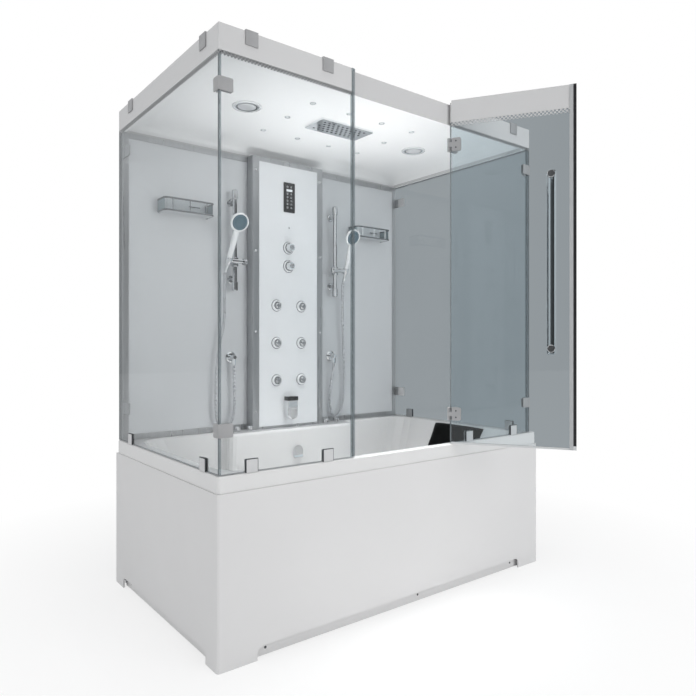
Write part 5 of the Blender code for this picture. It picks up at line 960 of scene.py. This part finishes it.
def make_corner_strips():
    """Clear seal strips along the two front corners, inside both panes and between the clamps."""
    edges = [LEFT_PANE[0].z, LEFT_PANE[1].z]
    for level in CLAMP_LEVELS:
        edges += [level - CLAMP_HEIGHT / 2 - SKIN, level + CLAMP_HEIGHT / 2 + SKIN]
    edges.sort()
    near = PANE_THICK + SKIN
    bend = near + CORNER_STRIP_THICK
    outline = [(near, -near), (CORNER_STRIP, -near), (CORNER_STRIP, -bend), (bend, -bend),
               (bend, -near - CORNER_STRIP), (near, -near - CORNER_STRIP)]
    strips = [loft([[forward(sign)(a, b, z) for a, b in outline] for z in levels])
              for sign in SIDES.values() for levels in zip(edges[::2], edges[1::2])]
    add_piece("corner_seals", merge(strips), "seal", "cabin")


def make_bracket_covers():
    """Pale plates on the brackets that hold the side panes to the back wall."""
    low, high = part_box("back_frame")
    plates = []
    for face, sign in ((low.x + BRACKET_IN, 1), (high.x - BRACKET_IN, -1)):
        for level in BRACKET_LEVELS:
            def place(along, out, height):
                return Vector((face + sign * out, low.y + along, height))

            plates.append(face_plate(place, BRACKET_SPAN, (level - BRACKET_HALF, level + BRACKET_HALF),
                                     (0, BRACKET_THICK), BRACKET_CORNER, BRACKET_EDGE))
    add_piece("pane_bracket_covers", merge(plates), "pale_plate", "cabin")


# Door details

HINGE_SCREW_SHARE = 0.6
HINGE_HEIGHT = 0.056
HINGE_REACH = 0.053
HINGE_HALF = 0.0055
HINGE_SCREW_RADIUS = 0.0036
HINGE_SCREW_HEIGHT = 0.0012
DOOR_SEAL_WIDTH = 0.017
DOOR_SEAL_WING = 0.009
SEAL_COVER_END = 0.0120
SEAL_HALF = 0.006
SEAL_WING_HALF = 0.0047
SEAL_GLASS_HALF = 0.0031
SEAL_FOOT_GAP = 0.0006
COVER_THICK = 0.0004


def make_hinge_screws():
    """Screws on both faces of each leaf of the door hinges."""
    along = HINGE_REACH * HINGE_SCREW_SHARE
    size = (HINGE_SCREW_RADIUS, HINGE_SCREW_HEIGHT)
    fixed, moving = [], []
    for name in ("hinge_lower_door", "hinge_upper_door"):
        low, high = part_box(name)
        for shift in (-HINGE_HEIGHT / 4, HINGE_HEIGHT / 4):
            level = (low.z + high.z) / 2 + shift
            for face in (-1, 1):
                away = door_place(along, face, level) - door_place(along, 0, level)
                moving.append(dome_screw(door_place(along, face * HINGE_HALF, level), away, *size))
                spot = Vector((HINGE.x + along, HINGE.y - face * HINGE_HALF, level))
                fixed.append(dome_screw(spot, face * FORWARD, *size))
    add_piece("hinge_screws_door", merge(moving), "screw", "door")
    add_piece("hinge_screws_fixed", merge(fixed), "screw", "cabin")


def make_door_seal_cover():
    """The pale grip of the magnetic seal, with the black magnet strip left showing at its end."""
    low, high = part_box("door_seal")
    end = door_width()
    back = end - DOOR_SEAL_WIDTH - DOOR_SEAL_WING - COVER_THICK
    bend = end - DOOR_SEAL_WIDTH
    stop = end - SEAL_COVER_END
    wing = SEAL_WING_HALF + COVER_THICK
    half = SEAL_HALF + COVER_THICK
    lining = half - 2 * COVER_THICK
    outline = [(back, SEAL_GLASS_HALF), (back, wing), (bend, half), (stop, half), (stop, lining),
               (bend, lining), (back + COVER_THICK, SEAL_GLASS_HALF)]
    levels = (low.z + SEAL_FOOT_GAP, high.z)
    parts = [loft([[door_place(a, face * b, z) for a, b in outline] for z in levels])
             for face in (-1, 1)]
    add_piece("door_seal_grip", merge(parts), "pale_seal", "door")


# Column details

KNOB_X = -0.004
KNOB_BASE_RADIUS = 0.0295
KNOB_BASE_HEIGHT = 0.010
KNOB_COVER_HEIGHT = KNOB_BASE_HEIGHT - 0.0006
KNOB_COVER_EDGE = 0.0035
KNOB_HEIGHT = 0.026
KNOB_RADIUS = 0.022
KNOB_CAP_RADIUS = KNOB_RADIUS * 0.6
KNOB_CAP = ((1, 0.0008), (0.96, 0.0016), (0.8, 0.0012), (0.5, 0.0004), (0.2, 0.0001), (0.2, -0.0012),
            (1, -0.0012))
JET_COUNT = 6
JET_COLLAR_RADIUS = 0.0275
JET_COLLAR_HEIGHT = 0.011
JET_COLLAR_EDGE = 0.004
JET_BALL_RADIUS = 0.016
JET_BORE = JET_BALL_RADIUS + 0.0007
JET_FACE_REACH = 0.0130
JET_FACE = ((0.0088, 0.0), (0.0088, 0.0012), (0.0078, 0.0019), (0.0030, 0.0023), (0.0008, 0.0023))
JET_PIN = ((0.0006, 0), (0.00055, 0.0009), (0.0003, 0.0011))
JET_PIN_RISE = 0.0020
JET_PIN_RINGS = ((1, 0, 0), (6, 0.0028, 0), (11, 0.0056, 0))
COLLAR_COVER = 0.0005
COLLAR_SHADE_WIDTH = 0.0028
COLLAR_LIP = 0.0010
COLLAR_LIP_DEPTH = 0.0020
COLLAR_WALL = 0.0016
COLLAR_LEVELS = (0.40, 0.45, 0.85)
COLLAR_BEVEL_SHARE = 0.4
RIVET_LEVELS = (0.72, 1.12, 1.525, 1.929)
RIVET_RADIUS = 0.0060
RIVET_INSET = 0.0185
RIVET = ((1, SKIN), (1, 0.0008), (0.8, 0.0020), (0.4, 0.0028))
SENSOR = ((0.0042, SKIN), (0.0042, 0.0008), (0.0034, 0.0014), (0.0020, 0.0012))
SENSOR_PLACE = (0.0, COLUMN_FACE, 1.660)


def ring_cover(radius, height, bore, origin, bevel):
    """A polished cover over a round boss, open in the middle."""
    cover = COLLAR_COVER
    foot, waist, shoulder = [height * share for share in COLLAR_LEVELS]
    profile = ((radius + cover, SKIN), (radius + cover, waist),
               (radius - bevel * COLLAR_BEVEL_SHARE + cover, shoulder),
               (radius - bevel + cover, height + cover),
               (bore + COLLAR_LIP, height + cover), (bore, height), (bore, height - COLLAR_LIP_DEPTH),
               (bore + COLLAR_WALL, height - COLLAR_LIP_DEPTH),
               (radius - bevel - COLLAR_LIP, height - cover),
               (radius - SKIN, foot), (radius - SKIN, SKIN))
    return turned(profile, origin, FORWARD, closed=True)


def collar_painted_shade(radius, height, bore, origin):
    """Thin dark rings where a collar meets the panel and where its bore begins: painted shade at the collar's foot
    and in its bore.
    """
    lift = height + COLLAR_COVER
    spans = ((radius + COLLAR_COVER / 2, radius + COLLAR_SHADE_WIDTH, SKIN, COLLAR_SHADE_WIDTH / 2),
             (bore + COLLAR_COVER, bore + COLLAR_SHADE_WIDTH, lift, lift + COLLAR_COVER))
    return [flat_ring(*span, origin, FORWARD) for span in spans]


def make_column_details():
    """Rivets, and the collars, painted shade rings, caps and faces of the knobs and jets."""
    reach = COLUMN_BOX[1].x - RIVET_INSET
    rivets = [turned(scaled(RIVET, RIVET_RADIUS), (sign * reach, COLUMN_FACE, level), FORWARD, FINE_STEPS)
              for level in RIVET_LEVELS for sign in SIDES.values()]
    add_piece("column_rivets", merge(rivets), "pale_metal", "cabin")
    covers, seams = [], []
    for name in ("mixer_knob", "diverter_knob"):
        low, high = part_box(name)
        spot = (KNOB_X, COLUMN_FACE, (low.z + high.z) / 2)
        covers.append(ring_cover(KNOB_BASE_RADIUS, KNOB_COVER_HEIGHT, KNOB_CAP_RADIUS, spot,
                                 KNOB_COVER_EDGE))
        seams += collar_painted_shade(KNOB_BASE_RADIUS, KNOB_COVER_HEIGHT, KNOB_RADIUS, spot)
        make_knob_cap(name, spot)
    for number in range(1, JET_COUNT + 1):
        centre = Vector(JOINTS[f"jet_nozzle_{number}_tilt"]["pos_m"])
        spot = (centre.x, COLUMN_FACE, centre.z)
        covers.append(ring_cover(JET_COLLAR_RADIUS, JET_COLLAR_HEIGHT, JET_BORE, spot, JET_COLLAR_EDGE))
        seams += collar_painted_shade(JET_COLLAR_RADIUS, JET_COLLAR_HEIGHT, JET_BORE, spot)
        make_jet_face(number, centre)
    add_piece("column_collars", merge(covers), "pale_chrome", "cabin")
    # The dark rings round the collars are painted shade
    add_piece("column_collar_painted_shade", merge(seams), "shade_painted_chrome", "cabin")


def make_sensor():
    """A small receiver between the display and the knobs."""
    eye = turned(SENSOR, SENSOR_PLACE, FORWARD, FINE_STEPS)
    add_piece("column_sensor", eye, "grey_face", "cabin")


def make_knob_cap(name, spot):
    """A dished cap on the face of a column knob."""
    face = Vector(spot) + FORWARD * (KNOB_BASE_HEIGHT + CLEARANCE + KNOB_HEIGHT)
    cap = turned(scaled(KNOB_CAP, KNOB_CAP_RADIUS), face, FORWARD)
    add_piece(f"{name}_cap", cap, "satin", name)


def make_jet_face(number, centre):
    """A grey spray face with rings of small nozzles on a body jet."""
    body = f"jet_nozzle_{number}"
    start = centre + FORWARD * JET_FACE_REACH
    foot = start + FORWARD * JET_PIN_RISE
    add_piece(f"{body}_face", turned(JET_FACE, start, FORWARD, FINE_STEPS), "grey_face", body)
    pins = pin_rings(JET_PIN_RINGS, JET_PIN, lambda a, b: foot + Vector((a, 0, b)), FORWARD)
    add_piece(f"{body}_pins", pins, "rubber", body)


# Display

KEY_COLUMN = 0.0115
KEY_PITCH = 0.0178
KEY_ROWS = 6
KEY_GAP_ROW = 1
KEY_START = 0.022
KEY_RING = (0.0037, 0.0046)
STROKE_HALF = 0.0020
STROKE_HALF_WIDTH = 0.0004
STROKE_CORNER = 0.0003
BAR_WIDTH = 0.036
BAR_HEIGHT = 0.012
BAR_CORNER = 0.0015
MARK_SPAN = (-0.0002, 0.0003)
MARK_EDGE = 0.0001
BORDER = ((0.0004, -0.0001), (0.0004, 0.0003), (0.0016, 0.0003), (0.0016, -0.0001))
BORDER_CORNER = 0.0038


def make_display_marks():
    """Touch keys on the display: small plain shapes in two columns and one pale bar."""
    low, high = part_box("display_panel")
    marks = []

    def place(along, out, level):
        return Vector((along, low.y - out, level))

    def mark(x, level, half_width, half_height, corner, steps):
        spans = ((x - half_width, x + half_width), (level - half_height, level + half_height))
        marks.append(face_plate(place, *spans, MARK_SPAN, corner, MARK_EDGE, steps))

    for row in range(KEY_ROWS + 1):
        level = high.z - KEY_START - row * KEY_PITCH
        if row == KEY_GAP_ROW:
            mark(0, level, BAR_WIDTH / 2, BAR_HEIGHT / 2, BAR_CORNER, 3)
            continue
        for sign in SIDES.values():
            x = sign * KEY_COLUMN
            marks.append(flat_ring(*KEY_RING, *MARK_SPAN, place(x, 0, level), FORWARD, FINE_STEPS))
            if (row + (sign > 0)) % 2:
                mark(x, level, STROKE_HALF, STROKE_HALF_WIDTH, STROKE_CORNER, 2)
            mark(x, level, STROKE_HALF_WIDTH, STROKE_HALF, STROKE_CORNER, 2)
    add_piece("display_marks", merge(marks), "white_key", "cabin")
    rings = []
    for inset, out in BORDER:
        outline = rounded(low.x + inset, high.x - inset, low.z + inset, high.z - inset, BORDER_CORNER)
        rings.append([place(a, out, b) for a, b in outline])
    add_piece("display_border", loft(rings, closed=True), "rubber", "cabin")


# Steam outlet

STEAM_LID = 0.020
CUP_RADIUS = 0.0137
LID_CORNER = 0.004
LID_STEPS = 4

# Rings of the lid: growth over the outlet, and rise over the lid's foot
LID_RINGS = ((0.0006, 0), (0.0012, 0.001), (0.0012, STEAM_LID - 0.0008), (0.0002, STEAM_LID + 0.0006))
LID_BORE_RISES = (STEAM_LID + 0.0006, 0.0004)


def make_steam_top():
    """The black lid round the cup of the steam outlet."""
    low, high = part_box("steam_outlet")
    depth = high.y - low.y
    half = (high.x - low.x) / 2
    foot = high.z - STEAM_LID
    rings = []
    for grow, rise in LID_RINGS:
        outline = rounded(-half - grow, half + grow, 0.0, depth + grow, LID_CORNER, LID_STEPS)
        rings.append([Vector((a, high.y - b, foot + rise)) for a, b in outline])
    for rise in LID_BORE_RISES:
        ring = []
        for a, b in rounded(-half, half, 0.0, depth, LID_CORNER, LID_STEPS):
            reach = Vector((a, b - depth / 2)).normalized() * CUP_RADIUS
            ring.append(Vector((reach.x, high.y - depth / 2 - reach.y, foot + rise)))
        rings.append(ring)
    add_piece("steam_outlet_lid", loft(rings, closed=True), "black", "cabin")


# Shelves

SHELF_WIRE = 0.004
SHELF_CORNER = 0.022
SHELF_BACK_GAP = 0.006
SHELF_RAIL_SHARE = 1.5
RAIL_SKIN = 0.0003
HOOK_SPAN = (0.020, 0.075)
HOOK_BACK = 0.020
HOOK_DROP = 0.016
HOOK_RADIUS = 0.003
GUARD_THICK = 0.0012
GUARD_SHARE = 0.985


def make_shelf_rails():
    """Rails over the wires of each shelf in chrome darkened with painted shade, a see-through guard and a small
    hook bar.
    """
    for side in SIDES:
        low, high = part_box(f"shelf_{side}")
        middle = (low.x + high.x) / 2
        half = (high.x - low.x) / 2 - SHELF_WIRE
        front = low.y + SHELF_WIRE
        back = high.y - SHELF_BACK_GAP
        levels = (low.z + SHELF_RAIL_SHARE * SHELF_WIRE, high.z - SHELF_RAIL_SHARE * SHELF_WIRE)
        corner = SHELF_CORNER
        outline = ([(middle - half, back)]
                   + arc(middle - half + corner, front + corner, corner, 180, 270)
                   + arc(middle + half - corner, front + corner, corner, 270, 360)
                   + [(middle + half, back)])
        rails = [sweep([(x, y, level) for x, y in outline], SHELF_WIRE + RAIL_SKIN) for level in levels]
        ends = [(middle + along, back - HOOK_BACK, levels[1] - HOOK_DROP) for along in HOOK_SPAN]
        rails.append(rod(*ends, HOOK_RADIUS))
        # The rails' darkened chrome is painted shade
        add_piece(f"shelf_rails_{side}", merge(rails), "shade_painted_chrome", "cabin")
        inner = [(middle + (x - middle) * GUARD_SHARE, y + GUARD_THICK) for x, y in outline]
        guard = loft([[Vector((x, y, level)) for x, y in outline + inner[::-1]] for level in levels])
        add_piece(f"shelf_guard_{side}", guard, "glass_shelf", "cabin")


# Ceiling details

SPOT_RADIUS = 0.0135
SPOT_GRID = ((-0.28, -0.215), (-0.09, -0.215), (0.095, -0.215), (0.28, -0.215), (-0.28, -0.02),
             (0.28, -0.02), (-0.28, 0.19), (-0.09, 0.19), (0.095, 0.19), (0.28, 0.19))
SPOT_RIM = ((1, 0.0001), (1, 0.0012), (0.9, 0.0026), (0.72, 0.0024), (0.66, 0.0006), (0.66, 0.0001))
SPOT_LENS = ((0.66, 0.0001), (0.66, 0.0008), (0.45, 0.0018), (0.15, 0.0022))
RAIN_HOLE_RADIUS = 0.0068
RAIN_HOLE = ((1, -0.0002), (0.8, 0.0008), (0.4, 0.0012), (0.25, 0.0004))
RAIN_HOLE_STEPS = 10
RAIN_PITCH = 0.0250
RAIN_ROW_SHARE = 0.87
RAIN_MARGIN = 0.010
RAIN_CORNER = 0.010

# Rings of the rim: inset from the plate's outline, and rise over its face
RAIN_RIM = ((-0.0008, 0.0080), (-0.0008, 0.0002), (0.0010, -0.0004), (0.0030, -0.0004),
            (0.0034, 0.0003), (0.0034, 0.0080))

# Pieces of a speaker: name, finish, slot and profile; only the face isn't a closed ring
SPEAKER = (
    ("ring", "pale_chrome", "chrome",
     ((0.0600, -0.0045), (0.0602, -0.0010), (0.0575, 0.0012), (0.0530, 0.0016), (0.0500, 0.0004),
      (0.0490, -0.0030), (0.0470, -0.0034), (0.0470, -0.0048))),
    ("groove", "rubber", "black",
     ((0.0470, -0.0046), (0.0470, -0.0014), (0.0440, 0.0000), (0.0405, -0.0008), (0.0390, -0.0030),
      (0.0390, -0.0046))),
    ("face", "pale_metal", "plastic",
     ((0.0390, -0.0046), (0.0390, -0.0010), (0.0370, 0.0008), (0.0300, 0.0022), (0.0150, 0.0032),
      (0.0030, 0.0034))),
)


def make_ceiling_spots():
    """Small lamps in the ceiling: a chrome ring round a domed lens."""
    places = [(x, y, CEILING) for x, y in SPOT_GRID]
    rims = [turned(scaled(SPOT_RIM, SPOT_RADIUS), spot, DOWNWARD, closed=True) for spot in places]
    lenses = [turned(scaled(SPOT_LENS, SPOT_RADIUS), spot, DOWNWARD, FINE_STEPS) for spot in places]
    add_piece("ceiling_spot_rims", merge(rims), "chrome", "cabin")
    add_piece("ceiling_spot_lenses", merge(lenses), "lens", "cabin")


def make_rain_face():
    """Staggered rows of nozzles under the rain shower, and a bright rim round its plate."""
    low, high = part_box("rain_shower")
    row_pitch = RAIN_PITCH * RAIN_ROW_SHARE
    columns = int((high.x - low.x - 2 * RAIN_MARGIN) / RAIN_PITCH)
    rows = int((high.y - low.y - 2 * RAIN_MARGIN) / row_pitch)
    centre = (low + high) / 2
    holes = []
    for j in range(rows):
        y = centre.y + (j - (rows - 1) / 2) * row_pitch
        count = columns - j % 2
        for i in range(count):
            x = centre.x + (i - (count - 1) / 2) * RAIN_PITCH
            shape = scaled(RAIN_HOLE, RAIN_HOLE_RADIUS)
            holes.append(turned(shape, (x, y, low.z), DOWNWARD, RAIN_HOLE_STEPS))
    add_piece("rain_shower_nozzles", merge(holes), "rubber", "cabin")
    rings = []
    for inset, rise in RAIN_RIM:
        outline = rounded(low.x + inset, high.x - inset, low.y + inset, high.y - inset, RAIN_CORNER)
        rings.append([Vector((x, y, low.z + rise)) for x, y in outline])
    add_piece("rain_shower_rim", loft(rings, closed=True), "chrome", "cabin")


def make_speaker_faces():
    """Surround, groove and centre dome of each speaker."""
    for side in SIDES:
        low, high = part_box(f"speaker_{side}")
        centre = ((low.x + high.x) / 2, (low.y + high.y) / 2, low.z)
        for name, look, slot, profile in SPEAKER:
            mesh = turned(profile, centre, DOWNWARD, closed=name != "face")
            add_piece(f"speaker_{name}_{side}", mesh, look, "cabin")


# Cushion and toe board

CUSHION_WIDTH = 0.330
CUSHION_LENGTH = 0.165
CUSHION_THICK = 0.045
CUSHION_FOOT = 0.0077
CUSHION_CROWN = CUSHION_THICK - CUSHION_FOOT - 0.002
CUSHION_PINCH = 0.008
CUSHION_BOW_SHARE = 0.02
CUSHION_DIP = 0.006
CUSHION_DIP_PLACE = (-0.05, 0.5)
CUSHION_SEAM = 0.0022
CUSHION_SEAM_SHARES = (0.30, 0.012)
CUSHION_CROWN_POWER = 0.42
CUSHION_UNDERSIDE = 0.0004
CUSHION_GRID = (44, 56)
CUSHION_SLOPE = 0.230 * 0.7425 / 0.81 / 0.418
CUSHION_DOWN = Vector((-CUSHION_SLOPE, 0, -1)).normalized()
CUSHION_OUT = Vector((-1, 0, CUSHION_SLOPE)).normalized()
CUSHION_TOP = (0.780, -0.065, 0.618)
CUSHION_SEAT = 0.0006
CUSHION_TOP_RISE = 0.001
TOE_SCREWS_FRONT = (-0.662, 0.059, 0.664)
TOE_SCREWS_SIDE = (-0.38, 0.357)
TOE_SCREW_LEVEL = 0.026
TOE_SCREW_RADIUS = 0.0045
TOE_SCREW_HEIGHT = 0.002


def cushion_point(along, across, height):
    """A place over the seat of the pad; along and across run from -1 to 1 over it."""
    run = CUSHION_LENGTH / 2 * (1 + along * (1 - CUSHION_BOW_SHARE * abs(across) ** 4))
    half = CUSHION_WIDTH / 2 - CUSHION_PINCH * (1 - abs(along) ** 3)
    start = Vector(CUSHION_TOP) + CUSHION_OUT * CUSHION_SEAT - CUSHION_DOWN * CUSHION_TOP_RISE
    return start + CUSHION_DOWN * run + Vector((0, across * half, 0)) + CUSHION_OUT * height


def cushion_height(along, across):
    """How far the pad stands over its seat: crowned, with a hollow and two seams."""
    line, seam_half = CUSHION_SEAM_SHARES
    dip_centre, dip_half = CUSHION_DIP_PLACE
    crown = max(0, (1 - abs(along) ** 5) * (1 - abs(across) ** 6)) ** CUSHION_CROWN_POWER
    valley = CUSHION_DIP * max(0, 1 - ((along - dip_centre) / dip_half) ** 2) * (1 - abs(across) ** 3)
    seam = CUSHION_SEAM * max(0, 1 - abs(abs(across) - line) / seam_half)
    return CUSHION_FOOT + CUSHION_CROWN * crown - valley - seam * crown


def make_cushion():
    """A crowned foam pad with a rolled edge and two seams, on the slope of the right end."""
    rows, columns = CUSHION_GRID
    alongs = [-1 + 2 * i / rows for i in range(rows + 1)]
    acrosses = [-1 + 2 * j / columns for j in range(columns + 1)]
    work = bmesh.new()
    tops = [[work.verts.new(cushion_point(a, b, cushion_height(a, b))) for b in acrosses] for a in alongs]
    bottoms = [[work.verts.new(cushion_point(a, b, CUSHION_UNDERSIDE)) for b in acrosses] for a in alongs]
    for grid in (tops, bottoms):
        for a, b in zip(grid, grid[1:]):
            for j in range(columns):
                work.faces.new((a[j], a[j + 1], b[j + 1], b[j]))
    border = ([(0, j) for j in range(columns)] + [(i, columns) for i in range(rows)]
              + [(rows, j) for j in range(columns, 0, -1)] + [(i, 0) for i in range(rows, 0, -1)])
    for (i, j), (k, l) in zip(border, border[1:] + border[:1]):
        work.faces.new((tops[i][j], bottoms[i][j], bottoms[k][l], tops[k][l]))
    bmesh.ops.recalc_face_normals(work, faces=work.faces)
    cushion = add_piece("cushion", finished(work), "foam", "cabin", ("head_cushion",))


def make_toe_screws():
    """Screws that hold the toe board, seen in the notches of the aprons."""
    low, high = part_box("toe_board")
    spots = [((x, low.y - SKIN, TOE_SCREW_LEVEL), FORWARD) for x in TOE_SCREWS_FRONT]
    for sign, face in ((-1, low.x), (1, high.x)):
        spots += [((face + sign * SKIN, y, TOE_SCREW_LEVEL), (sign, 0, 0)) for y in TOE_SCREWS_SIDE]
    heads = [dome_screw(spot, away, TOE_SCREW_RADIUS, TOE_SCREW_HEIGHT) for spot, away in spots]
    add_piece("toe_board_screws", merge(heads), "screw", "cabin")


make_camera()
make_world()
for lamp in LAMPS:
    make_light(*lamp)
make_floor()
for side in SIDES:
    make_hose(side)
for side in SIDES:
    make_handset(side)
make_slider_details()
make_clips()
make_clamps()
make_corner_strips()
make_hinge_screws()
make_door_seal_cover()
make_column_details()
make_display_marks()
make_sensor()
make_steam_top()
make_ceiling_spots()
make_rain_face()
make_speaker_faces()
make_cushion()
make_toe_screws()
make_shelf_rails()
make_bracket_covers()
dress_frame()

bpy.context.scene.view_settings.view_transform = "Standard"
